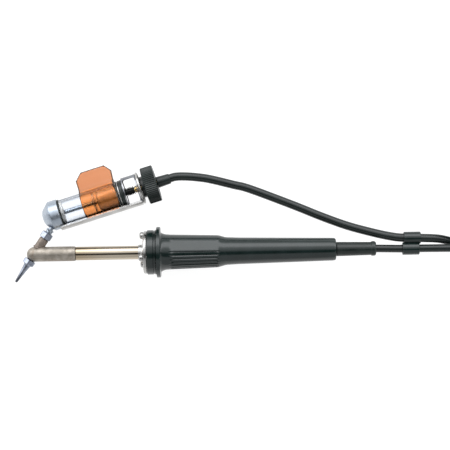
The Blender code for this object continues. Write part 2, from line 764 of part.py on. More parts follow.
def hose_route():
    """From inside the knob, over the handle, through the clip and down into the lower coil."""
    along = (math.cos(CONTAINER_ANGLE), math.sin(CONTAINER_ANGLE))
    start = [
        (CONTAINER_AT[0] + s * MM * along[0], CONTAINER_AT[1] + s * MM * along[1], FLANGE_R)
        for s in (78.4, 84)
    ]
    free = [
        (21.1, 52.6, 17.0),
        (32.2, 51.4, 16.0),
        (40.6, 49.6, 15.3),
        (53.3, 46.3, 14.0),
        (64.7, 43.2, 13.1),
        (95.3, 31.2, 11.6),
        (114.1, 23.3, 11.4),
        (132.8, 16.2, 12.2),
        (151.6, 10.8, 14.2),
        (163.0, 8.2, 15.7),
        (170.0, 7.25, 16.2),
        (184.0, 6.75, 16.2),
        (197.0, 5.9, 13.4),
        (210.0, 2.8, 8.6),
        (221.0, -0.2, 5.8),
        (231.2, -1.0, 4.85),
    ]
    return start + [(x * MM, y * MM, z * MM) for x, y, z in free]


def cable_route():
    """From the clamp in the handle, through the boot and clip, sagging a little to the upper coil."""
    free = [
        (106.0, 0, 17.75),
        (124.0, 0, 17.75),
        (151.9, -0.05, 17.7),
        (162.0, -0.3, 17.0),
        (169.5, -0.5, 16.1),
        (184.0, -0.5, 15.8),
        (196.0, -0.6, 15.3),
        (210.0, -0.7, 15.6),
        (222.0, -0.7, 16.3),
        (231.2, -0.7, 16.9),
    ]
    return [(x * MM, y * MM, z * MM) for x, y, z in free]


def coil_ring(name, low, high, look):
    outline = tube(COIL_OUTER_R, COIL_INNER_R, low, high)
    centre = axis_empty(f"{name}_axis", in_world(COIL_X, COIL_Y, 0), 0)
    centre.matrix_world = Matrix.Translation(in_world(COIL_X, COIL_Y, 0))
    turned(name, outline, centre, look, sides=40)


def make_cords():
    cord("vacuum_hose", [in_world(*p) for p in hose_route()], HOSE_R, "dark cord", resolution=3)
    cord("power_cable", [in_world(*p) for p in cable_route()], CABLE_R, "dark cord", resolution=2)
    coil_ring("hose_coil", COIL_LIFT, COIL_LIFT + HOSE_COIL_H, "dark cord")
    cable_low = COIL_LIFT + HOSE_COIL_H + CLEAR
    coil_ring("cable_coil", cable_low, cable_low + CABLE_COIL_H, "dark cord")


def lying_empty(name, at, direction):
    """An empty whose Z axis lies level along a direction."""
    return axis_empty(name, at, math.atan2(direction[1], direction[0]))


def make_hose_end():
    """The hose's free end, laid round the lower coil, and its push-on coupling."""
    near = COIL_OUTER_R + HOSE_R + 0.6 * MM
    far = COUPLING_LINE_R
    route = [
        on_coil(-38, near, 6.4 * MM),
        on_coil(-26, near + 0.6 * MM, 5.3 * MM),
        on_coil(-13, near + 1.6 * MM, 5.2 * MM),
        on_coil(0, far, 5.3 * MM),
    ]
    cord("hose_tail", route, HOSE_R, "dark cord", resolution=3, step=8 * MM)
    axis = lying_empty("coupling_axis", on_coil(0, far, 5.3 * MM), (0, 1))
    start = 2 * CLEAR
    outline = [
        (2.0 * MM, start),
        (3.9 * MM, start),
        (4.2 * MM, 9 * MM),
        (COUPLING_R, 9.6 * MM),
        (COUPLING_R, 15 * MM),
        (3.4 * MM, 15.6 * MM),
        (2.9 * MM, COUPLING_LENGTH),
        (2.0 * MM, COUPLING_LENGTH),
    ]
    turned("hose_coupling", outline, axis, "drawn metal", sides=20)


def make_plug():
    """The cable's free end, laid on the upper coil, and its round plug with a locking ring."""
    top = COIL_LIFT + HOSE_COIL_H + CLEAR + CABLE_COIL_H
    low = top + CABLE_R + CLEAR
    plug_height = top + 9.2 * MM + CLEAR
    route = [
        on_coil(-84, 40.0 * MM, low),
        on_coil(-70, 39.0 * MM, low),
        on_coil(-56, 37.0 * MM, low + 0.5 * MM),
        on_coil(-40, 34.3 * MM, low + 2.8 * MM),
        on_coil(-26, 32.4 * MM, low + 5.4 * MM),
        on_coil(-13, 31.4 * MM, plug_height - 0.1 * MM),
        on_coil(0, PLUG_LINE_R, plug_height),
    ]
    cord("cable_tail", route, CABLE_R, "dark cord", step=8 * MM)
    axis = lying_empty("plug_axis", on_coil(0, PLUG_LINE_R, plug_height), (0, 1))
    start = 2 * CLEAR
    body = [
        (0, start),
        (3.8 * MM, start),
        (4.6 * MM, 10 * MM),
        (PLUG_R, 14 * MM),
        (PLUG_R, 27 * MM),
        (PLUG_NECK_R, 27.4 * MM),
        (PLUG_NECK_R, PLUG_LENGTH),
        (PLUG_SOCKET_R, PLUG_LENGTH),
        (PLUG_SOCKET_R, PLUG_SOCKET_END),
        (0, PLUG_SOCKET_END),
    ]
    turned("plug_body", body, axis, "black plastic", sides=24)
    ring = tube(PLUG_R + 0.5 * MM, PLUG_NECK_R + CLEAR, 27.8 * MM, 37.4 * MM)
    turned("plug_ring", ring, axis, "drawn metal", sides=32, reshape=ring_grooves)
    insert = [
        (0, PLUG_SOCKET_END + CLEAR),
        (PLUG_SOCKET_R - CLEAR, PLUG_SOCKET_END + CLEAR),
        (PLUG_SOCKET_R - CLEAR, PLUG_LENGTH - 3.5 * MM),
        (0, PLUG_LENGTH - 3.5 * MM),
    ]
    turned("plug_insert", insert, axis, "black plastic", sides=20)


def ring_grooves(angle, radius, z):
    """Grip grooves round the plug's ring."""
    tooth = round(angle / (math.tau / 32)) % 2
    return radius - 0.35 * MM if radius > PLUG_R and tooth else radius


def make_clip():
    """Two rings in one piece, set a little apart along the cords."""
    hose_at = in_world(CLIP_AT + CLIP_SHIFT, 7.0 * MM, 16.2 * MM)
    cable_at = in_world(CLIP_AT, -0.5 * MM, 15.95 * MM)
    hose_axis = axis_empty("clip_hose_axis", hose_at, 0)
    cable_axis = axis_empty("clip_cable_axis", cable_at, 0)
    half = CLIP_LENGTH / 2
    clip = turned("cord_clip", rod(4.3 * MM, -half, half), hose_axis, "black plastic", sides=24)
    lower = turned("clip_lower_ring", rod(4.45 * MM, -half, half), cable_axis, sides=24)
    use_tool(clip, lower, "UNION")
    bore(clip, HOSE_R + 0.45 * MM, -2 * half, 2 * half, hose_axis)
    bore(clip, CABLE_R + 0.45 * MM, -2 * half, 2 * half, cable_axis)


def make_ties():
    """Hook-and-loop straps round both coils, each a flat band bent to a rectangle."""
    top = COIL_LIFT + HOSE_COIL_H + CLEAR + CABLE_COIL_H + CLEAR
    bottom = COIL_LIFT - CLEAR
    outer_r = COIL_OUTER_R + CLEAR
    inner = [(TIE_INNER_R, bottom), (outer_r, bottom), (outer_r, top), (TIE_INNER_R, top)]
    grow = TIE_THICK
    outer = [
        (TIE_INNER_R - grow, bottom - grow),
        (outer_r + grow, bottom - grow),
        (outer_r + grow, top + grow),
        (TIE_INNER_R - grow, top + grow),
    ]
    for number, angle in enumerate(TIE_ANGLES, 1):
        out = Vector((math.cos(angle), math.sin(angle), 0))
        along = Vector((math.sin(angle), -math.cos(angle), 0))
        empty = axis_empty(f"tie_axis_{number}", (0, 0, 0), 0)
        turn = Matrix((out, (0, 0, 1), along)).transposed().to_4x4()
        empty.matrix_world = Matrix.Translation(in_world(COIL_X, COIL_Y, 0)) @ turn
        half = TIE_WIDTH / 2
        framed_prism(f"coil_tie_{number}", outer, inner, -half, half, empty, "black rubber")


def main():
    clear_scene()
    handle = axis_empty("handle_axis", in_world(0, 0, FLANGE_R), 0)
    nozzle_axis = axis_empty("nozzle_axis", in_world(NOZZLE_CROSSING, 0, FLANGE_R), NOZZLE_ANGLE)
    container = axis_empty("container_axis", in_world(*CONTAINER_AT, FLANGE_R), CONTAINER_ANGLE)
    make_handle(handle)
    make_handle_inside(handle)
    make_strain_relief(handle)
    make_barrel(handle)
    make_head(handle, nozzle_axis)
    make_nozzle(nozzle_axis)
    make_container_front(container, nozzle_axis)
    make_container_inside(container)
    make_shield(container)
    make_rail(container)
    make_container_back(container)
    make_spring(container)
    make_knob(container)
    make_cords()
    make_hose_end()
    make_plug()
    make_clip()
    make_ties()


main()
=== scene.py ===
"""The finished look of the vacuum desoldering iron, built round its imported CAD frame."""

import json
import math

import bmesh
import bpy
from mathutils import Matrix, Vector


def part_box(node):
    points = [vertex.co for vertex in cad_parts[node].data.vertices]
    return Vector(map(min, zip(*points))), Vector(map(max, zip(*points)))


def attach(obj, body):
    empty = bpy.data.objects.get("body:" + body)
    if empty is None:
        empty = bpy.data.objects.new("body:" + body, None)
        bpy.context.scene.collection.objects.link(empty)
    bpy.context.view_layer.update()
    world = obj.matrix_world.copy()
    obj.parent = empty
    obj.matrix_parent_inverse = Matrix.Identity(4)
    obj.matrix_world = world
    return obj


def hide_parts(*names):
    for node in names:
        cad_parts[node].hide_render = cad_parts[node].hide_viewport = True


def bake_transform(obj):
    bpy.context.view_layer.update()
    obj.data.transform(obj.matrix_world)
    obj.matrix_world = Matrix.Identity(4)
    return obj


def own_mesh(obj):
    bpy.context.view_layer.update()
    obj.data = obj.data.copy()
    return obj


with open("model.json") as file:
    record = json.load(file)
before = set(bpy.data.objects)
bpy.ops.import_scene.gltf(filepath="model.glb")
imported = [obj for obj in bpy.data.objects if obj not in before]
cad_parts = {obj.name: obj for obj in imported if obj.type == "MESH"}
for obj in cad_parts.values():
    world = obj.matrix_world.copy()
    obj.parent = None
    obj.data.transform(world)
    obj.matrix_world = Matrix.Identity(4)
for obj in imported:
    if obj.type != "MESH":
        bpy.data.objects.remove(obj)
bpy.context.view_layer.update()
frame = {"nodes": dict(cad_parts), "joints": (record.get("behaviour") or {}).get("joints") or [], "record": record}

MM = 0.001
NODE_BODY = {n: body for body, names in frame["record"]["behaviour"]["bodies"].items() for n in names}
JOINTS = {joint["name"]: joint for joint in frame["joints"]}
LOOKS = {}
SHARP = math.radians(34)


# Axes, all read from the frame


def axis_matrix(at, direction):
    """Local Z along a level direction, local X level and to its left, local Y up."""
    along = Vector(direction).normalized()
    across = Vector((-along.y, along.x, 0))
    turn = Matrix((across, (0, 0, 1), along)).transposed().to_4x4()
    return Matrix.Translation(at) @ turn


def joint_axis(name, back=0.0):
    """The axis of a hinge, moved back along itself."""
    joint = JOINTS[name]
    direction = Vector(joint["axis"]).normalized()
    return axis_matrix(Vector(joint["pos_m"]) - back * direction, direction)


FLANGE_HALF = 1.4 * MM
grip_low, grip_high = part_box("handle_grip")
grip_middle = (grip_low + grip_high) / 2
HANDLE_AT = Vector((grip_low.x + FLANGE_HALF, grip_middle.y, grip_middle.z))
HANDLE = axis_matrix(HANDLE_AT, (1, 0, 0))
NOZZLE = joint_axis("nozzle_turn")
CONTAINER = joint_axis("shield_turn", back=29 * MM)
coil_low, coil_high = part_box("hose_coil")
COIL_AT = ((coil_low.x + coil_high.x) / 2, (coil_low.y + coil_high.y) / 2)


def lying_axis(node, lead):
    """The axis of a piece that lies along +Y, from a point just before its lowest Y."""
    low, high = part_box(node)
    return axis_matrix(((low.x + high.x) / 2, low.y - lead, (low.z + high.z) / 2), (0, 1, 0))


PLUG = lying_axis("plug_body", 0.6 * MM)
COUPLING = lying_axis("hose_coupling", 0.6 * MM)


def at_handle(x, y, height):
    """A point in millimetres from the flange, with its height above the bench."""
    return Vector((HANDLE_AT.x + x * MM, HANDLE_AT.y + y * MM, height * MM))


def on_coil(degrees, radius, height):
    """A point in millimetres round the coils' middle, with its height above the bench."""
    angle = math.radians(degrees)
    across, along = radius * MM * math.cos(angle), radius * MM * math.sin(angle)
    return Vector((COIL_AT[0] + across, COIL_AT[1] + along, height * MM))


# Camera


def make_camera():
    """Straight above the bench, turned by one degree."""
    data = bpy.data.cameras.new("camera")
    data.lens = 114.3
    data.sensor_width = 36
    data.clip_start = 0.01
    camera = bpy.data.objects.new("camera", data)
    camera.location = (21.1 * MM, -2.7 * MM, 1017.75 * MM)
    camera.rotation_euler = (0, 0, math.radians(-1.0))
    bpy.context.scene.collection.objects.link(camera)
    bpy.context.scene.camera = camera


# Materials


def add(tree, kind, inputs=None, **settings):
    """A new shader node, with its inputs linked or set and its settings made."""
    node = tree.nodes.new(kind)
    for key, value in settings.items():
        setattr(node, key, value)
    for key, value in (inputs or {}).items():
        if isinstance(value, bpy.types.NodeSocket):
            tree.links.new(value, node.inputs[key])
        else:
            node.inputs[key].default_value = value
    return node


def new_look(name):
    """An empty material: its tree, its shader and the place on the piece."""
    material = bpy.data.materials.new(name)
    material.use_nodes = True
    LOOKS[name] = material
    tree = material.node_tree
    place = add(tree, "ShaderNodeTexCoord").outputs["Object"]
    return tree, tree.nodes["Principled BSDF"], place


def noise(tree, place, scale, stretch=(1, 1, 1), detail=3.0, distortion=0.0):
    moved = add(tree, "ShaderNodeMapping", {"Vector": place, "Scale": stretch})
    inputs = {"Vector": moved.outputs[0], "Scale": scale, "Detail": detail, "Distortion": distortion}
    return add(tree, "ShaderNodeTexNoise", inputs).outputs["Fac"]


def ranged(tree, value, low, high, to_low=0.0, to_high=1.0):
    inputs = {"Value": value, "From Min": low, "From Max": high, "To Min": to_low, "To Max": to_high}
    return add(tree, "ShaderNodeMapRange", inputs, interpolation_type="SMOOTHSTEP").outputs["Result"]


def turn_share(tree, value):
    """How far an angle is through a full turn, from 0 to 1."""
    inputs = {"Value": value, "From Min": -math.pi, "From Max": math.pi}
    return add(tree, "ShaderNodeMapRange", inputs).outputs["Result"]


def blended(tree, factor, first, second):
    node = add(tree, "ShaderNodeMix", data_type="RGBA")
    tree.links.new(factor, node.inputs["Factor"])
    for socket, value in ((node.inputs[6], first), (node.inputs[7], second)):
        if isinstance(value, bpy.types.NodeSocket):
            tree.links.new(value, socket)
        else:
            socket.default_value = (*value, 1)
    return node.outputs[2]


def set_sockets(shader, **sockets):
    """Uniform values, each on the shader's own socket."""
    for key, value in sockets.items():
        shader.inputs[key.replace("_", " ")].default_value = value


def bumped(tree, shader, height, depth):
    bump = add(tree, "ShaderNodeBump", {"Height": height, "Distance": depth, "Strength": 1.0})
    tree.links.new(bump.outputs[0], shader.inputs["Normal"])


def surface(
    name, colour, accent, roughness, spread=0.08, grain=1800, stretch=(1, 1, 1), depth=0.012 * MM,
    patches=90, patch_stretch=(1, 1, 1), wear=None, **sockets
):
    """A colour with soft patches of a second one, a fine grain, uneven gloss and lighter worn edges."""
    tree, shader, place = new_look(name)
    patch = ranged(tree, noise(tree, place, patches, patch_stretch, 4.0), 0.35, 0.65)
    shade = blended(tree, patch, colour, accent)
    fine = noise(tree, place, grain, stretch, 2.0)
    uneven = noise(tree, place, patches * 3, patch_stretch, 5.0)
    gloss = ranged(tree, uneven, 0.3, 0.7, roughness - spread, roughness + spread)
    if wear:
        point = add(tree, "ShaderNodeNewGeometry").outputs["Pointiness"]
        edge = ranged(tree, point, 0.53, 0.62)
        rough_edge = add(tree, "ShaderNodeMath", operation="MULTIPLY")
        tree.links.new(edge, rough_edge.inputs[0])
        tree.links.new(noise(tree, place, patches * 6, detail=4.0), rough_edge.inputs[1])
        shade = blended(tree, rough_edge.outputs[0], shade, wear)
    tree.links.new(shade, shader.inputs["Base Color"])
    tree.links.new(gloss, shader.inputs["Roughness"])
    bumped(tree, shader, fine, depth)
    set_sockets(shader, **sockets)
    return tree, shader, place, shade


RINGS = (0.02, 0.02, 1)
LENGTHWISE = (1, 1, 0.02)


def make_dark_looks():
    surface(
        "black_plastic", (0.0035, 0.0095, 0.0085), (0.0065, 0.0135, 0.0127), 0.17, 0.03, grain=2200,
        depth=0.003 * MM, wear=(0.04, 0.046, 0.046), IOR=1.5
    )
    surface(
        "black_rubber", (0.003, 0.007, 0.0062), (0.0065, 0.0125, 0.011), 0.34, 0.06, grain=1500,
        depth=0.02 * MM, wear=(0.035, 0.043, 0.041), IOR=1.45
    )
    surface(
        "cord_jacket", (0.003, 0.006, 0.0055), (0.006, 0.0105, 0.0095), 0.27, 0.04, grain=1300,
        depth=0.004 * MM, patches=60, IOR=1.46
    )
    surface("spring_steel", (0.02, 0.02, 0.022), (0.05, 0.048, 0.045), 0.32, 0.06, Metallic=0.7)
    tree, shader, place, _ = surface(
        "strap", (0.012, 0.012, 0.013), (0.028, 0.028, 0.03), 0.85, 0.05, patches=220, Sheen_Weight=0.3
    )
    woven = add(tree, "ShaderNodeTexVoronoi", {"Vector": place, "Scale": 1100.0})
    bumped(tree, shader, woven.outputs["Distance"], 0.25 * MM)


def make_metal_looks():
    surface(
        "drawn_metal", (0.37, 0.365, 0.355), (0.47, 0.465, 0.45), 0.24, 0.07, grain=2400, stretch=RINGS,
        depth=0.004 * MM, wear=(0.85, 0.85, 0.84), Metallic=1.0
    )
    surface(
        "blue_aluminium", (0.33, 0.375, 0.43), (0.42, 0.465, 0.52), 0.3, 0.06, grain=2600, stretch=RINGS,
        depth=0.005 * MM, wear=(0.8, 0.83, 0.88), Metallic=0.9
    )
    surface(
        "brass", (0.62, 0.43, 0.17), (0.75, 0.55, 0.25), 0.27, 0.06, grain=2200, stretch=RINGS,
        depth=0.004 * MM, wear=(0.85, 0.68, 0.38), Metallic=1.0
    )
    tree, shader, place, shade = surface(
        "tan_metal", (0.25, 0.225, 0.19), (0.355, 0.32, 0.275), 0.46, 0.08, grain=1700, depth=0.03 * MM,
        patches=260, wear=(0.78, 0.72, 0.64), Metallic=0.75
    )
    stain = ranged(tree, noise(tree, place, 140, detail=5.0, distortion=1.0), 0.5, 0.75, 0.0, 0.6)
    tree.links.new(blended(tree, stain, shade, (0.2, 0.15, 0.11)), shader.inputs["Base Color"])
    make_shaded_metal_looks()
    make_barrel_look()
    make_nozzle_look()


def make_shaded_metal_looks():
    """Browned steel of the suction tube and the duller plating of the cage and rail."""
    surface(
        "browned_metal", (0.15, 0.125, 0.105), (0.24, 0.20, 0.17), 0.5, 0.08, grain=1700, depth=0.03 * MM,
        patches=300, wear=(0.4, 0.35, 0.3), Metallic=0.7
    )
    surface(
        "dull_plating", (0.16, 0.17, 0.19), (0.24, 0.25, 0.27), 0.28, 0.07, grain=2400,
        stretch=LENGTHWISE, depth=0.004 * MM, wear=(0.6, 0.6, 0.62), Metallic=0.9
    )


def make_barrel_look():
    """Polished steel, straw to brown where it runs hot towards the head."""
    tree, shader, place, shade = surface(
        "polished_steel", (0.41, 0.355, 0.28), (0.47, 0.415, 0.33), 0.15, 0.05, grain=1900,
        stretch=LENGTHWISE, depth=0.002 * MM, patches=70, patch_stretch=(1, 1, 0.25),
        wear=(0.85, 0.82, 0.76), Metallic=1.0
    )
    along = add(tree, "ShaderNodeSeparateXYZ", {"Vector": place}).outputs["Z"]
    hot = ranged(tree, along, -30 * MM, -62 * MM, 0.0, 0.75)
    tree.links.new(blended(tree, hot, shade, (0.36, 0.28, 0.18)), shader.inputs["Base Color"])


def make_nozzle_look():
    """Plated steel, tinned and darkened at the very tip."""
    tree, shader, place, shade = surface(
        "nozzle_metal", (0.21, 0.235, 0.285), (0.30, 0.325, 0.38), 0.3, 0.08, grain=2300, stretch=RINGS,
        depth=0.005 * MM, patches=300, wear=(0.75, 0.78, 0.82), Metallic=0.95
    )
    along = add(tree, "ShaderNodeSeparateXYZ", {"Vector": place}).outputs["Z"]
    tip = ranged(tree, along, -15 * MM, -20 * MM, 0.0, 0.85)
    tree.links.new(blended(tree, tip, shade, (0.08, 0.085, 0.10)), shader.inputs["Base Color"])


def make_pale_looks():
    surface(
        "filter_jacket", (0.86, 0.84, 0.80), (0.92, 0.90, 0.86), 0.3, 0.04, grain=1500,
        stretch=LENGTHWISE, depth=0.002 * MM, patches=160, Metallic=0.15
    )
    surface(
        "ceramic", (0.74, 0.71, 0.64), (0.85, 0.83, 0.77), 0.5, 0.1, grain=1200, depth=0.02 * MM,
        patches=200
    )
    surface("green_board", (0.02, 0.11, 0.055), (0.04, 0.17, 0.08), 0.35, 0.08, patches=400)
    surface(
        "white_filter", (0.86, 0.84, 0.80), (0.74, 0.72, 0.67), 0.9, 0.05, grain=900,
        stretch=(1, 1, 0.3), depth=0.15 * MM, patches=500, Subsurface_Weight=0.15,
        Subsurface_Radius=(0.002, 0.002, 0.002)
    )


def make_glass_look():
    """Clear glass with faint smears, and a painted dark edge where it is seen edge on, standing in for the dark
    reflection there.
    """
    tree, shader, place = new_look("clear_glass")
    smear = ranged(tree, noise(tree, place, 120, (1, 1, 0.4), 5.0), 0.45, 0.7, 0.01, 0.07)
    tree.links.new(smear, shader.inputs["Roughness"])
    tint = blended(tree, noise(tree, place, 60), (0.93, 0.955, 0.985), (0.90, 0.93, 0.97))
    facing = add(tree, "ShaderNodeLayerWeight", {"Blend": 0.5}).outputs["Facing"]
    # Painted shade: a dark colour mixed in at grazing angles stands in for the glass's dark edge reflection.
    painted_dark_edge = ranged(tree, facing, 0.3, 0.62)
    tree.links.new(blended(tree, painted_dark_edge, tint, (0.10, 0.12, 0.155)), shader.inputs["Base Color"])
    set_sockets(shader, Transmission_Weight=1.0, IOR=1.47)


def make_film_look():
    """Orange film, deeper in colour where it wraps the glass than on its flag."""
    tree, shader, place = new_look("orange_film")
    streaks = ranged(tree, noise(tree, place, 150, (1, 1, 0.15), 4.0), 0.35, 0.65)
    sheet = blended(tree, streaks, (0.85, 0.55, 0.385), (0.83, 0.53, 0.365))
    parts = add(tree, "ShaderNodeSeparateXYZ", {"Vector": place})
    wrapped = ranged(tree, parts.outputs["X"], 9.3 * MM, 10.0 * MM, 1.0, 0.0)
    tree.links.new(blended(tree, wrapped, sheet, (0.97, 0.55, 0.27)), shader.inputs["Base Color"])
    gloss = ranged(tree, noise(tree, place, 300, (1, 1, 0.2), 4.0), 0.35, 0.65, 0.1, 0.2)
    tree.links.new(gloss, shader.inputs["Roughness"])
    set_sockets(shader, Transmission_Weight=1.0, IOR=1.3)


# Meshes


def finished(bm, name, sharp=SHARP):
    """The built shape as a smooth-shaded mesh, with edges past an angle kept sharp."""
    bmesh.ops.recalc_face_normals(bm, faces=bm.faces)
    mesh = bpy.data.meshes.new(name)
    bm.to_mesh(mesh)
    bm.free()
    mesh.shade_smooth()
    mesh.set_sharp_from_angle(angle=sharp)
    return mesh


def place_object(name, mesh, axis=None):
    obj = bpy.data.objects.new(name, mesh)
    bpy.context.scene.collection.objects.link(obj)
    if axis is not None:
        obj.matrix_world = axis
    return obj


def dress(obj, look):
    obj.data.materials.clear()
    obj.data.materials.append(LOOKS[look])


def stands_for(obj, look, *nodes, body=None):
    """Dresses a piece that stands for CAD nodes, and lets it ride where they do."""
    dress(obj, look)
    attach(obj, body or NODE_BODY[nodes[0]])
    if nodes:
        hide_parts(*nodes)
    return obj


def rounded(outline, radius, steps=4, closed=None):
    """The outline in millimetres with each of its corners eased by a small curve."""
    closed = outline[0][0] > 0 if closed is None else closed
    points = [Vector(p) for p in outline]
    count = len(points)
    eased = []
    for k, point in enumerate(points):
        if not closed and k in (0, count - 1):
            eased.append(point)
            continue
        before = points[k - 1] - point
        after = points[(k + 1) % count] - point
        if before.length < 1e-6 or after.length < 1e-6 or before.angle(after) > math.radians(165):
            eased.append(point)
            continue
        start = point + before.normalized() * min(radius, 0.45 * before.length)
        end = point + after.normalized() * min(radius, 0.45 * after.length)
        for step in range(steps + 1):
            t = step / steps
            eased.append(start * (1 - t) ** 2 + 2 * point * t * (1 - t) + end * t**2)
    return [(p.x, p.y) for p in eased]


def turned_mesh(name, outline, sides=96, reshape=None, offset=(0, 0), sharp=SHARP):
    """Turns (radius, distance) points in millimetres about Z. reshape gives a point a new radius."""
    bm = bmesh.new()
    closed = outline[0][0] > 0
    rows = []
    x, y = offset[0] * MM, offset[1] * MM
    for radius, along in outline:
        if radius <= 0:
            rows.append([bm.verts.new((x, y, along * MM))])
            continue
        row = []
        for k in range(sides):
            angle = math.tau * k / sides
            r = (reshape(angle, radius, along) if reshape else radius) * MM
            row.append(bm.verts.new((x + r * math.cos(angle), y + r * math.sin(angle), along * MM)))
        rows.append(row)
    pairs = list(zip(rows, rows[1:]))
    if closed:
        pairs.append((rows[-1], rows[0]))
    for low, high in pairs:
        for k in range(sides):
            ahead = (k + 1) % sides
            corners = []
            for row, spot in ((low, k), (low, ahead), (high, ahead), (high, k)):
                vert = row[spot % len(row)]
                if vert not in corners:
                    corners.append(vert)
            if len(corners) > 2:
                bm.faces.new(corners)
    return finished(bm, name, sharp)


def turned_object(name, outline, axis, ease=0, **options):
    outline = rounded(outline, ease) if ease else outline
    return place_object(name, turned_mesh(name, outline, **options), axis)


def turned(node, outline, axis, look, **options):
    """A finely turned piece that stands for a CAD node."""
    return stands_for(turned_object(f"{node}_fine", outline, axis, **options), look, node)


def extra(name, outline, axis, look, body, **options):
    """A turned detail that no CAD node has."""
    return stands_for(turned_object(name, outline, axis, **options), look, body=body)


def tube(outer, inner, start, end):
    """The outline of a plain tube."""
    return [(outer, start), (outer, end), (inner, end), (inner, start)]


def rod(radius, start, end):
    """The outline of a plain rod."""
    return [(0, start), (radius, start), (radius, end), (0, end)]


def carve(obj, tool, operation="DIFFERENCE"):
    """Cuts or joins with a tool object, keeps the result as the mesh and removes the tool."""
    modifier = obj.modifiers.new("carve", "BOOLEAN")
    modifier.operation = operation
    modifier.object = tool
    bpy.context.view_layer.update()
    graph = bpy.context.evaluated_depsgraph_get()
    mesh = bpy.data.meshes.new_from_object(obj.evaluated_get(graph))
    obj.modifiers.clear()
    obj.data = mesh
    mesh.shade_smooth()
    mesh.set_sharp_from_angle(angle=SHARP)
    bpy.data.objects.remove(tool)


def cut_round(from_radius, start, end, depth, wave):
    """Lowers the outer points between two distances by a wave round the piece."""

    def reshape(angle, radius, along):
        if radius < from_radius or not start < along < end:
            return radius
        return radius - depth * wave(angle)

    return reshape


def hexagon(flats, from_radius):
    """Pulls the outer points in onto a hexagon with eased corners."""

    def reshape(angle, radius, _along):
        if radius < from_radius:
            return radius
        sector = (angle + math.pi / 6) % (math.pi / 3) - math.pi / 6
        return min(flats / 2 / math.cos(sector), 1.115 * flats / 2)

    return reshape


def skin(bm, rings):
    """Joins rings of points into a tube with closed ends."""
    for before, after in zip(rings, rings[1:]):
        for k in range(len(before)):
            following = (k + 1) % len(before)
            bm.faces.new((before[k], before[following], after[following], after[k]))
    bm.faces.new(rings[0][::-1])
    bm.faces.new(rings[-1])


def prism_mesh(name, outline, low, high, axis_order="xzy"):
    """Extrudes an outline in millimetres: its two coordinates and the depth go to the named axes."""
    bm = bmesh.new()

    def corner(a, b, depth):
        values = dict(zip(axis_order, (a * MM, b * MM, depth * MM)))
        return bm.verts.new((values["x"], values["y"], values["z"]))

    skin(bm, [[corner(a, b, depth) for a, b in outline] for depth in (low, high)])
    return finished(bm, name)


# Cords

# Millimetres: the boot's end is along the handle, the sleeve's along the container.
HOSE_R = 3.0
CABLE_R = 2.75
AXIS_HEIGHT = 17.75
BOOT_END = 151.9
SLEEVE_END = 80.0


def spline_point(a, b, c, d, t):
    """A point between b and c on a smooth curve that also passes a and d."""
    square, cube = 2 * a - 5 * b + 4 * c - d, 3 * b - a - 3 * c + d
    return 0.5 * (2 * b + (c - a) * t + square * t**2 + cube * t**3)


def smooth_route(route, step):
    """Points about one step apart on a smooth curve through the route's points."""
    ends = [2 * route[0] - route[1], *route, 2 * route[-1] - route[-2]]
    fine = []
    for k in range(len(route) - 1):
        fine += [spline_point(*ends[k : k + 4], part / 16) for part in range(16)]
    fine.append(route[-1])
    lengths = [0.0]
    for before, after in zip(fine, fine[1:]):
        lengths.append(lengths[-1] + (after - before).length)
    count = max(2, round(lengths[-1] / step))
    spaced = []
    k = 0
    for part in range(count + 1):
        target = lengths[-1] * part / count
        while k < len(fine) - 2 and lengths[k + 1] < target:
            k += 1
        share = (target - lengths[k]) / (lengths[k + 1] - lengths[k])
        spaced.append(fine[k].lerp(fine[k + 1], share))
    return spaced, lengths[-1]


def coil_points(outer, pitch, first_height, second_height, climb, start, end, step=15.0):
    """One layer wound inwards, a climb at the inner turn, and a second layer wound back outwards."""
    turns = (end - start) / 360
    layer = (turns - climb) / 2
    points = []
    count = round((end - start) / step)
    for k in range(count + 1):
        turn = turns * k / count
        if turn <= layer:
            radius, height = outer - pitch * turn, first_height
        elif turn < layer + climb:
            share = (turn - layer) / climb
            rise = share * share * (3 - 2 * share)
            radius = outer - pitch * layer - 0.9 * math.sin(math.pi * share)
            height = first_height + (second_height - first_height) * rise
        else:
            radius, height = outer - pitch * (turns - turn), second_height
        points.append(on_coil(start + 360 * turn, radius, height))
    return points


def ring_of_points(bm, centre, radius, side, normal, sides):
    """A circle of points about a centre, in the plane of side and normal."""
    ring = []
    for k in range(sides):
        angle = math.tau * k / sides
        ring.append(bm.verts.new(centre + radius * (math.cos(angle) * side + math.sin(angle) * normal)))
    return ring


def sweep_mesh(name, points, radius, sides=20):
    """A round tube along points, with eased closed ends."""
    bm = bmesh.new()
    tangents = []
    for k in range(len(points)):
        ahead = points[min(k + 1, len(points) - 1)] - points[max(k - 1, 0)]
        tangents.append(ahead.normalized())
    up = Vector((0, 0, 1))
    side = up.cross(tangents[0]).normalized()
    rings = []
    for k, (point, tangent) in enumerate(zip(points, tangents)):
        side = (side - tangent * side.dot(tangent)).normalized()
        normal = tangent.cross(side)
        r = radius * (0.9 if k in (0, len(points) - 1) else 1.0)
        rings.append(ring_of_points(bm, point, r, side, normal, sides))
    skin(bm, rings)
    return finished(bm, name, math.radians(50))


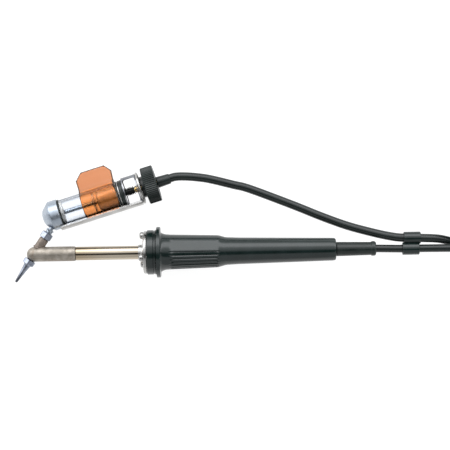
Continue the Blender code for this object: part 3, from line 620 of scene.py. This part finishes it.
def hose_route():
    """From the knob to the clip, down into its coil, and out to the coupling."""
    along = CONTAINER.to_3x3().col[2]
    start = CONTAINER.translation
    route = [start + s * MM * along for s in (78.4, 84)]
    free = [
        (21.1, 52.6, 17.0), (32.2, 51.4, 16.0), (40.6, 49.6, 15.3), (53.3, 46.3, 14.0),
        (64.7, 43.2, 13.1), (95.3, 31.2, 11.6), (114.1, 23.3, 11.4), (132.8, 16.2, 12.2),
        (151.6, 10.8, 14.2), (163.0, 8.2, 15.7), (170.0, 7.25, 16.2), (184.0, 6.75, 16.2),
        (197.0, 5.9, 13.4), (210.0, 2.8, 8.6), (221.0, -0.2, 5.8), (231.2, -1.0, 4.85),
        (242.5, -1.0, 4.78)
    ]
    route += [at_handle(*point) for point in free]
    route += coil_points(41.0, 6.02, 4.75, 10.9, climb=0.45, start=-90, end=2072)
    tail = [
        (-75, 42.3, 10.6), (-64, 44.3, 9.6), (-52, 46.4, 8.0), (-38, 47.6, 6.4), (-26, 48.2, 5.5),
        (-13, 49.2, 5.3), (0, 50.0, 5.3)
    ]
    route += [on_coil(*point) for point in tail]
    return route


def cable_route():
    """From the boot through the clip, round on top of the hose's coil, and to the plug."""
    free = [
        (125.0, 0, AXIS_HEIGHT), (138.0, 0, AXIS_HEIGHT), (BOOT_END, -0.05, 17.7),
        (162.0, -0.3, 17.0), (169.5, -0.5, 16.1), (184.0, -0.5, 15.8), (196.0, -0.6, 15.3),
        (210.0, -0.7, 15.6), (222.0, -0.7, 16.3), (231.2, -0.7, 16.9), (242.5, -0.7, 17.1)
    ]
    route = [at_handle(*point) for point in free]
    route += coil_points(40.7, 5.6, 17.15, 22.85, climb=0.45, start=-90, end=2030)
    tail = [
        (-114, 40.9, 24.3), (-99, 40.5, 27.0), (-84, 40.0, 28.6), (-70, 39.0, 28.8),
        (-56, 37.0, 29.4), (-40, 34.3, 31.6), (-26, 32.4, 34.0), (-13, 31.4, 35.05), (0, 31.0, 35.2)
    ]
    route += [on_coil(*point) for point in tail]
    return route


def make_cord(name, route, radius, nodes):
    """A cord at its real length, and the points it follows."""
    points, length = smooth_route(route, 2.5 * MM)
    obj = place_object(name, sweep_mesh(name, points, radius * MM))
    dress(obj, "cord_jacket")
    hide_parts(*nodes)
    return obj, points


def make_cords():
    """The coupling, the plug, the hose with its shape fixed in place, and the cable, which rides with the iron."""
    coupling = make_coupling()
    plug = make_plug()
    nodes = ("vacuum_hose", "hose_coil", "hose_tail")
    route = hose_route()
    hose, points = make_cord("hose_line", route, HOSE_R, nodes)
    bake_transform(hose)
    nodes = ("power_cable", "cable_coil", "cable_tail")
    cable, _ = make_cord("cable_line", cable_route(), CABLE_R, nodes)
    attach(cable, "iron")


def make_coupling():
    """A push-on coupling: barbed neck, knurled collar and a plain nose."""
    outline = [
        (1.9, 0.6), (3.6, 0.6), (4.0, 1.4), (4.0, 3.0), (3.7, 3.2), (4.1, 5.0), (3.8, 5.2),
        (4.2, 7.2), (4.2, 9.2), (5.2, 9.6), (5.2, 15.0), (4.6, 15.4), (3.4, 15.6), (3.4, 17.0),
        (3.1, 17.4), (3.1, 18.6), (3.4, 19.0), (3.2, 25.0), (2.9, 26.0), (2.0, 26.0)
    ]
    outline = dense(outline, 9.6, 15.0, 1.0)
    knurl = cut_round(5.0, 9.9, 14.7, 0.18, lambda angle: 0.5 + 0.5 * math.cos(36 * angle))
    return [turned("hose_coupling", outline, COUPLING, "drawn_metal", ease=0.2, sides=216, reshape=knurl)]


def dense(outline, start, end, step):
    """Adds points to the straight runs between two distances, for a reshape to move."""
    fuller = []
    for k, (r, along) in enumerate(outline):
        fuller.append((r, along))
        if k == len(outline) - 1:
            continue
        next_r, next_along = outline[k + 1]
        low, high = min(along, next_along), max(along, next_along)
        if low < start - 0.01 or high > end + 0.01:
            continue
        count = int((high - low) / step)
        for part in range(1, count + 1):
            t = part / (count + 1)
            fuller.append((r + (next_r - r) * t, along + (next_along - along) * t))
    return fuller


def make_plug():
    """A round plug: a ribbed sleeve, a body, a grooved locking ring and pins set in an insert."""
    body = [(0, 0.6), (3.8, 0.6)]
    for k in range(4):
        along = 1.6 + 2.0 * k
        radius = 3.9 + 0.2 * k
        rib = radius + 0.35
        body += [(radius, along), (rib, along + 0.3), (rib, along + 1.1), (radius + 0.05, along + 1.4)]
    body += [
        (4.7, 10.0), (6.6, 12.2), (8.1, 13.6), (8.5, 14.6), (8.5, 20.0), (8.2, 20.3), (8.2, 21.3),
        (8.5, 21.6), (8.5, 27.0), (7.0, 27.4), (7.0, 38.0), (5.8, 38.0), (5.8, 30.0), (0, 30.0)
    ]
    shell = turned("plug_body", body, PLUG, "black_plastic", ease=0.35)
    grooves = cut_round(8.6, 28.6, 36.6, 0.4, lambda angle: max(0.0, math.cos(24 * angle)) ** 0.5)
    lock = dense(tube(9.0, 7.3, 27.8, 37.4), 27.8, 37.4, 1.2)
    ring = turned("plug_ring", lock, PLUG, "drawn_metal", ease=0.5, sides=288, reshape=grooves)
    face = turned("plug_insert", rod(5.5, 30.3, 34.5), PLUG, "black_plastic", ease=0.3)
    return [shell, ring, face, *make_pins()]


def make_pins():
    """Five thin pins set on an open circle."""
    pins = []
    for k in range(5):
        angle = math.radians(90 + 60 * (k - 2))
        spot = (3.3 * math.cos(angle), 3.3 * math.sin(angle))
        outline = [(0, 33.6), (0.5, 33.6), (0.5, 36.4), (0.25, 37.0), (0, 37.0)]
        name = f"plug_pin_{k + 1}"
        pins.append(extra(name, outline, PLUG, "brass", "iron", ease=0.1, sides=20, offset=spot))
    return pins


# Handle

# Angles round the grip in degrees, and distances along it in millimetres.
PANEL_MIDDLE = 65.0
PANEL_HALF = 20.0
PANEL_LIP = 1.6
PANEL_MARGIN = 1.5
SMOOTH_FROM = 325.0
FLUTE_PITCH = 12.0
FLUTE_DEPTH = 0.5
SHAPED_START, SHAPED_END = 8.2, 42.5
THINNEST_SHAPED = 10.4


def grip_outline():
    """Flange, hollow fillet, flanks, a soft step down, the tail, and back through the bore."""
    points = [(17.25, -1.4), (17.6, -1.3), (17.75, -0.95), (17.75, 0.95), (17.6, 1.3), (17.2, 1.4)]
    for k in range(9):
        sweep = math.radians(90 * k / 8)
        points.append((12.4 + 2.4 * (1 - math.sin(sweep)), 1.4 + 5.6 * (1 - math.cos(sweep))))
    flank_start, flank_end, step_end = 7.6, 40.2, 48.6
    for k in range(28):
        points.append((12.28 - 0.93 * k / 27, flank_start + (flank_end - flank_start) * k / 27))
    for k in range(1, 13):
        share = k / 12
        drop = share * share * (3 - 2 * share)
        points.append((11.35 - 1.63 * drop, flank_end + (step_end - flank_end) * share))
    points += [(9.38, 56.0), (8.0, 121.5), (7.9, 122.8), (7.5, 123.6), (7.0, 123.9)]
    points += [(4.0, 123.9), (4.0, 118.0), (6.3, 117.9), (6.3, 39.0), (9.3, 37.0), (9.3, -1.1)]
    return points + [(15.9, -1.1), (15.9, -1.4)]


def grip_shape(angle, radius, along):
    """The flat panel on the upper side, and the flutes everywhere else round the grip."""
    if radius < THINNEST_SHAPED or not SHAPED_START <= along <= SHAPED_END:
        return radius
    degrees = math.degrees(angle) % 360
    off = abs((degrees - PANEL_MIDDLE + 180) % 360 - 180)
    fade = min(1.0, (along - SHAPED_START) / 1.2, (SHAPED_END - along) / 1.8)
    if off < PANEL_HALF + PANEL_MARGIN:
        chord = radius * math.cos(math.radians(PANEL_HALF))
        flat = chord / math.cos(math.radians(min(off, PANEL_HALF)))
        lip = 0.10 if off > PANEL_HALF - PANEL_LIP else 0.0
        return radius + (min(flat, radius) - 0.12 + lip - radius) * fade
    if degrees < PANEL_MIDDLE or degrees > SMOOTH_FROM:
        return radius
    phase = (degrees % FLUTE_PITCH) / FLUTE_PITCH
    groove = max(0.0, 1 - abs(phase - 0.5) / 0.22)
    return radius - FLUTE_DEPTH * fade * math.sin(groove * math.pi / 2)


def make_handle():
    turned(
        "handle_grip", grip_outline(), HANDLE, "black_plastic", ease=0, sides=360,
        reshape=grip_shape, sharp=math.radians(28)
    )
    collar = [
        (7.0, -8.1), (15.0, -8.1), (15.4, -7.9), (15.6, -7.4), (15.6, -3.6), (15.2, -3.4),
        (15.2, -2.7), (15.6, -2.5), (15.6, -1.7), (7.0, -1.7)
    ]
    turned("front_collar", collar, HANDLE, "black_plastic", ease=0.3)
    plate = [(5.4, -10.6), (13.8, -10.6), (14.6, -10.3), (14.9, -9.8), (14.9, -8.4), (5.4, -8.4)]
    turned("front_plate", plate, HANDLE, "drawn_metal", ease=0.15)
    for number in (1, 2, 3):
        make_screw(number, math.radians(120 * (number - 1) - 13.5))
    boot = [
        (6.0, 113.5), (6.0, 117.6), (3.7, 117.6), (3.7, 124.2), (4.8, 124.2), (5.05, 124.6),
        (4.6, 148.3), (5.0, 148.9), (5.15, 149.6), (5.15, 150.5), (5.0, 151.2), (4.5, BOOT_END),
        (3.05, BOOT_END), (3.05, 113.5)
    ]
    turned("strain_relief", boot, HANDLE, "black_rubber", ease=0.25)


def make_screw(number, angle):
    """A pan-head screw with a cross recess."""
    spot = (12.1 * math.cos(angle), 12.1 * math.sin(angle))
    outline = [
        (0, -13.5), (1.0, -13.45), (1.9, -13.2), (2.35, -12.7), (2.55, -12.0), (2.55, -11.1),
        (2.4, -10.9), (1.4, -10.9), (1.4, -3.9), (0, -3.9)
    ]
    node = f"front_screw_{number}"
    screw = turned(node, outline, HANDLE, "drawn_metal", ease=0.15, sides=48, offset=spot)
    slot = ((-1.4, -0.25), (1.4, -0.25), (1.4, 0.25), (-1.4, 0.25))
    for turn in (20, 110):
        c, s = math.cos(math.radians(turn)), math.sin(math.radians(turn))
        corners = [(spot[0] + a * c - b * s, spot[1] + a * s + b * c) for a, b in slot]
        tool = place_object("slot_tool", prism_mesh("slot_tool", corners, -14.0, -12.5, "xyz"), HANDLE)
        carve(screw, tool)
    dress(screw, "drawn_metal")


# Hot end


def make_head():
    """A round-ended block, bored for the nozzle and the suction tube."""
    outline = []
    for k in range(15):
        sweep = math.radians(90 * k / 14)
        outline.append((5.2 * math.sin(sweep), -87.15 - 5.2 * math.cos(sweep)))
    outline += [
        (5.2, -80), (5.2, -70), (5.2, -60), (5.15, -58.7), (4.9, -58.25), (4.6, -58.1),
        (2.9, -58.1), (2.9, -79.4), (0, -79.4)
    ]
    head = turned("heater_head", outline, HANDLE, "tan_metal", ease=0)
    for radius, start, end in ((10, -12, -4.4), (3.36, 2.2, 12)):
        carve(head, turned_object("bore", rod(radius, start, end), NOZZLE))
    dress(head, "tan_metal")


def make_hot_end():
    turned("heater_barrel", tube(4.8, 4.2, -57.8, 10), HANDLE, "polished_steel", ease=0.2)
    collar = [
        (5.1, -14.2), (5.3, -14.2), (5.5, -13.6), (5.5, -11.9), (5.8, -11.5), (5.85, -10.9),
        (5.1, -10.9)
    ]
    turned("barrel_collar", collar, HANDLE, "drawn_metal", ease=0.12)
    make_head()
    stub = [(1.2, 2.7), (3.33, 2.7), (3.33, 12.4), (3.1, 12.9), (2.05, 12.9), (2.05, 7.7), (1.2, 7.7)]
    turned("suction_tube", stub, NOZZLE, "browned_metal", ease=0.15)
    weld = [(3.2, 4.4), (3.75, 4.6), (3.95, 5.0), (3.75, 5.5), (3.2, 5.9)]
    extra("suction_weld", weld, NOZZLE, "browned_metal", "iron", ease=0.2, sides=64)
    nut = [(3.6, 13.2), (3.95, 13.6), (3.95, 17.3), (3.5, 17.9), (2.05, 17.9), (2.05, 13.2)]
    flats = hexagon(7.9, 3.7)
    turned("union_nut", nut, NOZZLE, "nozzle_metal", ease=0.15, sides=120, reshape=flats)
    turned("inlet_pipe", tube(1.75, 1.1, 8, 24.6), NOZZLE, "blue_aluminium", ease=0.1, sides=64)
    make_nozzle()


def make_nozzle():
    """Four thread rings, a hexagon and a long taper, with a bore right through."""
    outline = [(0.75, -1.0), (2.2, -1.0)]
    for k in range(4):
        along = -1.5 - 0.8 * k
        outline += [(2.2, along), (1.95, along - 0.4)]
    outline += [
        (2.2, -4.6), (3.6, -4.7), (4.0, -5.0), (4.0, -7.9), (3.5, -8.5), (2.7, -8.7), (2.4, -9.2),
        (2.2, -10.4), (1.85, -13.4), (1.4, -17.2), (1.2, -19.6), (0.95, -22.4), (0.8, -23.2),
        (0.5, -23.2), (0.5, -16.0), (0.75, -15.6)
    ]
    flats = hexagon(8.0, 3.75)
    turned("desoldering_nozzle", outline, NOZZLE, "nozzle_metal", ease=0.12, sides=120, reshape=flats)


# Solder container


def make_container_front():
    cap = [
        (0, -13.1), (2.2, -13.0), (3.4, -12.75), (5.6, -11.8), (8.0, -9.4), (10.1, -7.3),
        (10.5, -6.7), (10.5, -6.2), (10.43, -5.8), (10.43, -0.5), (10.2, -0.3), (7.6, -0.3),
        (7.6, -5.5), (3.0, -9.5), (0, -9.5)
    ]
    turned("inlet_cap", cap, CONTAINER, "blue_aluminium", ease=0.25)
    socket = [(1.8, 18.1), (2.3, 18.1), (2.4, 18.4), (2.4, 19.3), (3.0, 20.6), (1.8, 20.6)]
    extra("cap_socket", socket, NOZZLE, "blue_aluminium", "iron", ease=0.2, sides=64)
    turned("front_seal", tube(9.8, 7, 0, 0.75), CONTAINER, "black_rubber", ease=0.12)
    turned("front_insert", tube(7.6, 5.8, 1.05, 2.8), CONTAINER, "ceramic", ease=0.2)
    turned("glass_tube", tube(9.3, 7.9, 1.05, 42), CONTAINER, "clear_glass", ease=0.3)


def make_container_inside():
    baffle = [
        (0, 23.2), (2.0, 23.2), (7.2, 24.5), (7.4, 24.7), (7.4, 25.2), (1.5, 25.2), (1.5, 26.9),
        (0, 26.9)
    ]
    turned("solder_baffle", baffle, CONTAINER, "drawn_metal", ease=0.15)
    cartridge = [
        (0, 27.3), (5.9, 27.3), (6.9, 27.6), (7.5, 28.4), (7.5, 40.6), (7.2, 40.9), (7.2, 41.8),
        (0, 41.8)
    ]
    turned("filter_cartridge", cartridge, CONTAINER, "filter_jacket", ease=0.3, sides=128)
    felt = [(0, 27.0), (5.2, 27.0), (5.6, 27.15), (5.6, 27.35), (0, 27.35)]
    extra("filter_felt", felt, CONTAINER, "white_filter", "container", ease=0.1, sides=64)
    core = [(0, 3.0), (1.3, 3.0), (1.5, 3.3), (1.5, 22.6), (1.9, 23.1), (0, 23.1)]
    extra("chamber_rod", core, CONTAINER, "blue_aluminium", "container", ease=0.15, sides=48)


WRAP_R = 9.78
FLAG_JOIN = 12.4
FLAG_CORNER = 18.0
FLAG_TOP = 22.9


def flag_ends(across):
    """Where the film starts and ends along the container, at a distance out from its axis."""
    if across <= 9.75:
        return 16.4, 42.0
    if across <= FLAG_CORNER:
        return 16.6, 42.0 + 0.7 * (across - 9.75) / 8.25
    share = (across - FLAG_CORNER) / (FLAG_TOP - FLAG_CORNER)
    return 16.6 + 5.1 * share, 42.7 - 4.1 * share


def make_shield():
    """One strip of film: out along the flag, once round the glass, and back out along the flag."""
    gap, steps, cells = 0.2, 88, 12
    out = [FLAG_TOP, FLAG_TOP - 1.6, FLAG_TOP - 3.2, FLAG_CORNER, 17.0, 15.5, 14.0, 13.0, FLAG_JOIN]
    half = [(x, gap) for x in out] + [(12.1, 0.32), (11.6, 0.75), (10.6, 2.1)]
    start = 0.84 * math.degrees(math.acos(WRAP_R / FLAG_JOIN))
    arc = []
    for k in range(steps + 1):
        angle = math.radians(start + (360 - 2 * start) * k / steps)
        arc.append((WRAP_R * math.cos(angle), WRAP_R * math.sin(angle)))
    bm = bmesh.new()
    rows = []
    for x, y in half + arc + [(x, -y) for x, y in reversed(half)]:
        front, back = flag_ends(x)
        heights = [front + (back - front) * k / cells for k in range(cells + 1)]
        rows.append([bm.verts.new((x * MM, y * MM, height * MM)) for height in heights])
    for before, after in zip(rows, rows[1:]):
        for k in range(cells):
            bm.faces.new((before[k], before[k + 1], after[k + 1], after[k]))
    obj = place_object("heat_shield_fine", finished(bm, "heat_shield_fine"), CONTAINER)
    thick = obj.modifiers.new("thickness", "SOLIDIFY")
    thick.thickness = 0.18 * MM
    thick.offset = 0
    stands_for(obj, "orange_film", "heat_shield")


def make_rail():
    """A shallow trough with a thickened bead along each long edge."""
    middle, half, last = 180.0, 38.0, 24
    outer_bead, inner_bead = {0: 0.4, 1: 0.2}, {0: 0.15}
    section = []
    for radius, side, bead, order in ((11.8, 1, outer_bead, 1), (10.9, -1, inner_bead, -1)):
        for k in range(last + 1)[::order]:
            angle = math.radians(middle - half + 2 * half * k / last)
            r = radius + side * bead.get(min(k, last - k), 0.0)
            section.append((r * math.cos(angle), r * math.sin(angle)))
    mesh = prism_mesh("container_rail_fine", section, -2.6, 57.1, "xyz")
    obj = place_object("container_rail_fine", mesh, CONTAINER)
    bevel = obj.modifiers.new("edges", "BEVEL")
    bevel.width = 0.15 * MM
    bevel.segments = 2
    bevel.limit_method = "ANGLE"
    stands_for(obj, "drawn_metal", "container_rail")


def rounded_box(left, right, low, high, corner, steps=6):
    return rounded([(left, low), (right, low), (right, high), (left, high)], corner, steps, True)


def shorten(obj):
    """Gives a piece its own copy of its mesh."""
    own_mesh(obj)


def make_container_back():
    turned("rear_gasket", tube(9.6, 6, 42.3, 43), CONTAINER, "black_rubber", ease=0.12)
    turned("seal_washer", tube(9.4, 5, 43.3, 43.8), CONTAINER, "drawn_metal", ease=0.1)
    disc = [
        (1.9, 44.1), (9.4, 44.1), (9.66, 44.5), (9.5, 45.35), (9.66, 46.2), (9.3, 46.6), (1.9, 46.6)
    ]
    turned("seal_disc", disc, CONTAINER, "black_rubber", ease=0.15)
    make_spindle()
    make_cage()
    plate = [
        (2.8, 57.4), (10.4, 57.4), (11.0, 57.55), (11.4, 57.9), (11.4, 58.7), (11.1, 59.1),
        (10.7, 59.1), (10.3, 58.75), (9.6, 58.35), (4.6, 58.2), (3.6, 58.5), (2.8, 58.6)
    ]
    turned("rear_plate", plate, CONTAINER, "drawn_metal", ease=0.12)
    make_spring()


def make_spindle():
    """The plunger's stem, the bellows over it and the bush that guides it."""
    stem = [
        (1.0, 43.9), (1.5, 43.9), (1.6, 44.2), (1.6, 55.0), (1.5, 55.2), (1.5, 59.0), (1.6, 59.2),
        (1.6, 65.7), (1.4, 66.0), (1.0, 66.0)
    ]
    turned("plunger_stem", stem, CONTAINER, "brass", ease=0.1, sides=48)
    sheath = [(1.62, 46.7)]
    for k in range(7):
        sheath += [(2.0, 46.8 + k), (2.22, 47.3 + k)]
    sheath += [(2.0, 53.8), (2.0, 54.2), (1.62, 54.2)]
    shorten(extra("stem_sheath", sheath, CONTAINER, "black_rubber", "iron", ease=0.12, sides=48))
    bush = [
        (1.75, 54.6), (2.2, 54.6), (2.5, 54.9), (2.5, 55.5), (2.2, 55.7), (2.2, 56.4), (2.5, 56.6),
        (2.5, 58.5), (2.3, 58.8), (1.75, 58.8)
    ]
    turned("spindle_bush", bush, CONTAINER, "brass", ease=0.1, sides=48)


def make_cage():
    """A short tube with a window through each side, its corners rounded."""
    cage = tube(10.6, 10.0, 46.9, 57.1)
    obj = turned("rear_cage", cage, CONTAINER, "dull_plating", ease=0.12)
    window = rounded_box(-8.8, 8.8, 47.6, 56.4, 1.8)
    carve(obj, place_object("window", prism_mesh("window", window, -15, 15, "xzy"), CONTAINER))
    dress(obj, "dull_plating")


def make_spring():
    """A compression spring round the sheath, with its turns closer at both ends."""
    bm = bmesh.new()
    turns, steps, sides = 6.5, 190, 10
    start, end, mean, wire = 47.25, 53.95, 2.6, 0.3
    up = Vector((0, 0, 1))
    rings = []
    for k in range(steps + 1):
        share = k / steps
        eased = share + 0.045 * math.sin(math.tau * share)
        angle = math.tau * turns * share
        out = Vector((math.cos(angle), math.sin(angle), 0))
        centre = mean * MM * out + (start + (end - start) * eased) * MM * up
        rings.append(ring_of_points(bm, centre, wire * MM, out, up, sides))
    skin(bm, rings)
    mesh = finished(bm, "return_spring_fine", math.radians(60))
    obj = place_object("return_spring_fine", mesh, CONTAINER)
    stands_for(obj, "spring_steel", "return_spring")
    shorten(obj)


def make_knob():
    """A knurled release knob with a plain hub in front."""
    outline = [
        (1.9, 59.4), (7.2, 59.4), (7.5, 59.7), (7.5, 61.5), (7.8, 61.7), (12.2, 61.7),
        (12.7, 61.85), (12.95, 62.3), (12.95, 69.9), (12.7, 70.35), (12.2, 70.5), (10.4, 70.5),
        (9.8, 70.1), (4.6, 70.1), (4.2, 70.5), (3.1, 70.5), (3.1, 66.6), (1.9, 66.6)
    ]
    knurl = cut_round(12.2, 62.0, 70.2, 0.4, lambda angle: (0.5 - 0.5 * math.cos(60 * angle)) ** 0.7)
    turned(
        "release_knob", dense(outline, 62.3, 69.9, 1.0), CONTAINER, "black_rubber", ease=0.15,
        sides=480, reshape=knurl, sharp=math.radians(40)
    )
    nipple = [
        (1.3, 66.9), (2.0, 66.9), (2.0, 70.0), (2.25, 71.0), (1.9, 72.4), (2.25, 73.4), (1.9, 74.8),
        (2.0, 78.0), (1.3, 78.0)
    ]
    turned("hose_nipple", nipple, CONTAINER, "brass", ease=0.1, sides=40)
    sleeve = [
        (3.25, 70.8), (3.9, 70.8), (3.95, 71.4), (3.6, 79.6), (3.45, SLEEVE_END), (3.15, SLEEVE_END)
    ]
    turned("hose_sleeve", sleeve, CONTAINER, "black_rubber", ease=0.15, sides=64)


# Clip and ties


def make_clip():
    """Two rings moulded together, one a little further along than the other."""
    low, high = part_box("cord_clip")
    half, hose_ring, cable_ring = 5.95, 4.3, 4.45
    hose_axis = axis_matrix(high - Vector((half, hose_ring, hose_ring)) * MM, (1, 0, 0))
    cable_axis = axis_matrix(low + Vector((half, cable_ring, cable_ring)) * MM, (1, 0, 0))
    clip = turned_object("cord_clip_fine", rounded(rod(hose_ring, -half, half), 0.7, 5), hose_axis)
    ring = turned_object("ring", rounded(rod(cable_ring, -half, half), 0.7, 5), cable_axis)
    carve(clip, ring, "UNION")
    for axis, radius in ((hose_axis, 3.4), (cable_axis, 3.15)):
        carve(clip, turned_object("hole", rod(radius, -3 * half, 3 * half), axis))
    stands_for(clip, "black_plastic", "cord_clip")


STRAP_THICK = 1.1
STRAP_ROUND = 5.1
STRAP_IN, STRAP_OUT = 20.4, 44.3
STRAP_LOW, STRAP_HIGH = 1.35, 25.9


def make_ties():
    """Hook-and-loop straps, each closed with its free end laid over the top."""
    for number, degrees in ((1, 105), (2, 200)):
        angle = math.radians(degrees)
        along = (math.sin(angle), -math.cos(angle), 0)
        axis = axis_matrix((*COIL_AT, 0), along)
        thick = STRAP_THICK
        inner = rounded_box(STRAP_IN, STRAP_OUT, STRAP_LOW, STRAP_HIGH, 4.0, 8)
        outer = rounded_box(
            STRAP_IN - thick, STRAP_OUT + thick, STRAP_LOW - thick, STRAP_HIGH + thick, STRAP_ROUND, 8
        )
        name = f"coil_tie_{number}_fine"
        obj = place_object(name, strap_mesh(name, inner, outer, 7.6, True), axis)
        stands_for(obj, "strap", f"coil_tie_{number}")
        make_tie_flap(f"tie_flap_{number}", axis)


def make_tie_flap(name, axis):
    """The strap's free end: up its outer side, round the corner and over the top."""
    side, top = STRAP_OUT + STRAP_THICK, STRAP_HIGH + STRAP_THICK
    middle_r, middle_z = side - STRAP_ROUND, top - STRAP_ROUND
    path = [(side, 17.0), (side, 20.5), (side, middle_z)]
    for k in range(1, 7):
        sweep = math.radians(90 * k / 6)
        path.append((middle_r + STRAP_ROUND * math.cos(sweep), middle_z + STRAP_ROUND * math.sin(sweep)))
    path += [(36.0, top), (32.0, top), (28.5, top)]
    lower = [(r + 0.05, z + 0.05) for r, z in path]
    flap = place_object(name, strap_mesh(name, lower, offset_path(lower, 0.9), 7.2, False), axis)
    stands_for(flap, "strap", body="iron")


def offset_path(path, distance):
    """The path moved out to its right-hand side, away from the coil."""
    moved = []
    for k, (x, y) in enumerate(path):
        ax, ay = path[max(k - 1, 0)]
        bx, by = path[min(k + 1, len(path) - 1)]
        length = math.hypot(bx - ax, by - ay)
        moved.append((x + (by - ay) / length * distance, y - (bx - ax) / length * distance))
    return moved


def strap_mesh(name, inner, outer, half_width, closed):
    """A flat band between two outlines in (x, y), with softened long edges."""
    bm = bmesh.new()
    columns = [(-1.0, 0.25), (-0.96, 0.0), (0.96, 0.0), (1.0, 0.25)]

    def mixed(a, b, share):
        return [(p[0] + (q[0] - p[0]) * share, p[1] + (q[1] - p[1]) * share) for p, q in zip(a, b)]

    loops = [(mixed(inner, outer, inset), width) for width, inset in columns]
    loops += [(mixed(inner, outer, 1 - inset), width) for width, inset in reversed(columns)]
    rings = []
    for loop, width in loops:
        rings.append([bm.verts.new((x * MM, y * MM, width * half_width * MM)) for x, y in loop])
    count = len(inner)
    last = count if closed else count - 1
    for k, ring in enumerate(rings):
        following = rings[(k + 1) % len(rings)]
        for c in range(last):
            after = (c + 1) % count
            bm.faces.new((ring[c], ring[after], following[after], following[c]))
    if not closed:
        bm.faces.new([ring[0] for ring in rings])
        bm.faces.new([ring[-1] for ring in reversed(rings)])
    return finished(bm, name, math.radians(45))


# Kept CAD nodes, floor and light


def dress_kept_nodes():
    """The inner pieces keep their CAD shape and get a finished material."""
    kept = {
        "insulating_carrier": "ceramic", "terminal_board": "green_board", "heater_leads": "ceramic",
        "cable_clamp": "black_plastic", "heating_element": "ceramic", "temperature_sensor": "ceramic"
    }
    for node, look in kept.items():
        for slot in frame["nodes"][node].material_slots:
            slot.material = LOOKS[look]


def make_floor():
    """A wide, pale bench."""
    bm = bmesh.new()
    bmesh.ops.create_grid(bm, x_segments=8, y_segments=8, size=4.0)
    mesh = bpy.data.meshes.new("floor")
    bm.to_mesh(mesh)
    bm.free()
    floor = place_object("floor", mesh)
    tree, shader, place = new_look("pale_floor")
    shade = blended(tree, noise(tree, place, 3.0), (0.20, 0.20, 0.20), (0.22, 0.22, 0.22))
    tree.links.new(shade, shader.inputs["Base Color"])
    set_sockets(shader, Roughness=0.9, Specular_IOR_Level=0.1)
    set_sockets(shader, Emission_Color=(1, 1, 1, 1), Emission_Strength=0.92)
    floor.data.materials.append(LOOKS["pale_floor"])


def make_light():
    """A soft box along the far side, a weaker one along the near side and a dark gap overhead."""
    world = bpy.data.worlds.new("studio")
    world.use_nodes = True
    bpy.context.scene.world = world
    tree = world.node_tree
    where = add(tree, "ShaderNodeTexCoord").outputs["Generated"]
    parts = add(tree, "ShaderNodeSeparateXYZ", {"Vector": where})
    lean = add(tree, "ShaderNodeMath", operation="ARCTAN2")
    tree.links.new(parts.outputs["Y"], lean.inputs[0])
    tree.links.new(parts.outputs["Z"], lean.inputs[1])
    ramp = add(tree, "ShaderNodeValToRGB")
    tree.links.new(turn_share(tree, lean.outputs[0]), ramp.inputs["Fac"])
    stops = [
        (-180, 0.06), (-100, 0.06), (-86, 0.19), (-36, 0.21), (-28, 0.01), (-8, 0.01), (3, 0.24),
        (28, 0.45), (40, 1.0), (62, 1.0), (74, 0.4), (90, 0.12), (180, 0.06)
    ]
    elements = ramp.color_ramp.elements
    while len(elements) < len(stops):
        elements.new(0.5)
    for element, (degrees, _) in zip(elements, stops):
        element.position = (degrees + 180) / 360
    for element, (_, level) in zip(elements, stops):
        element.color = (0.97 * level, 0.98 * level, level, 1)
    background = tree.nodes["Background"]
    tree.links.new(ramp.outputs["Color"], background.inputs["Color"])
    background.inputs["Strength"].default_value = 4.0
    bpy.context.scene.view_settings.view_transform = "Standard"


def main():
    make_camera()
    make_dark_looks()
    make_metal_looks()
    make_pale_looks()
    make_glass_look()
    make_film_look()
    make_cords()
    make_handle()
    make_hot_end()
    make_container_front()
    make_container_inside()
    make_shield()
    make_rail()
    make_container_back()
    make_knob()
    make_clip()
    make_ties()
    dress_kept_nodes()
    make_floor()
    make_light()


main()
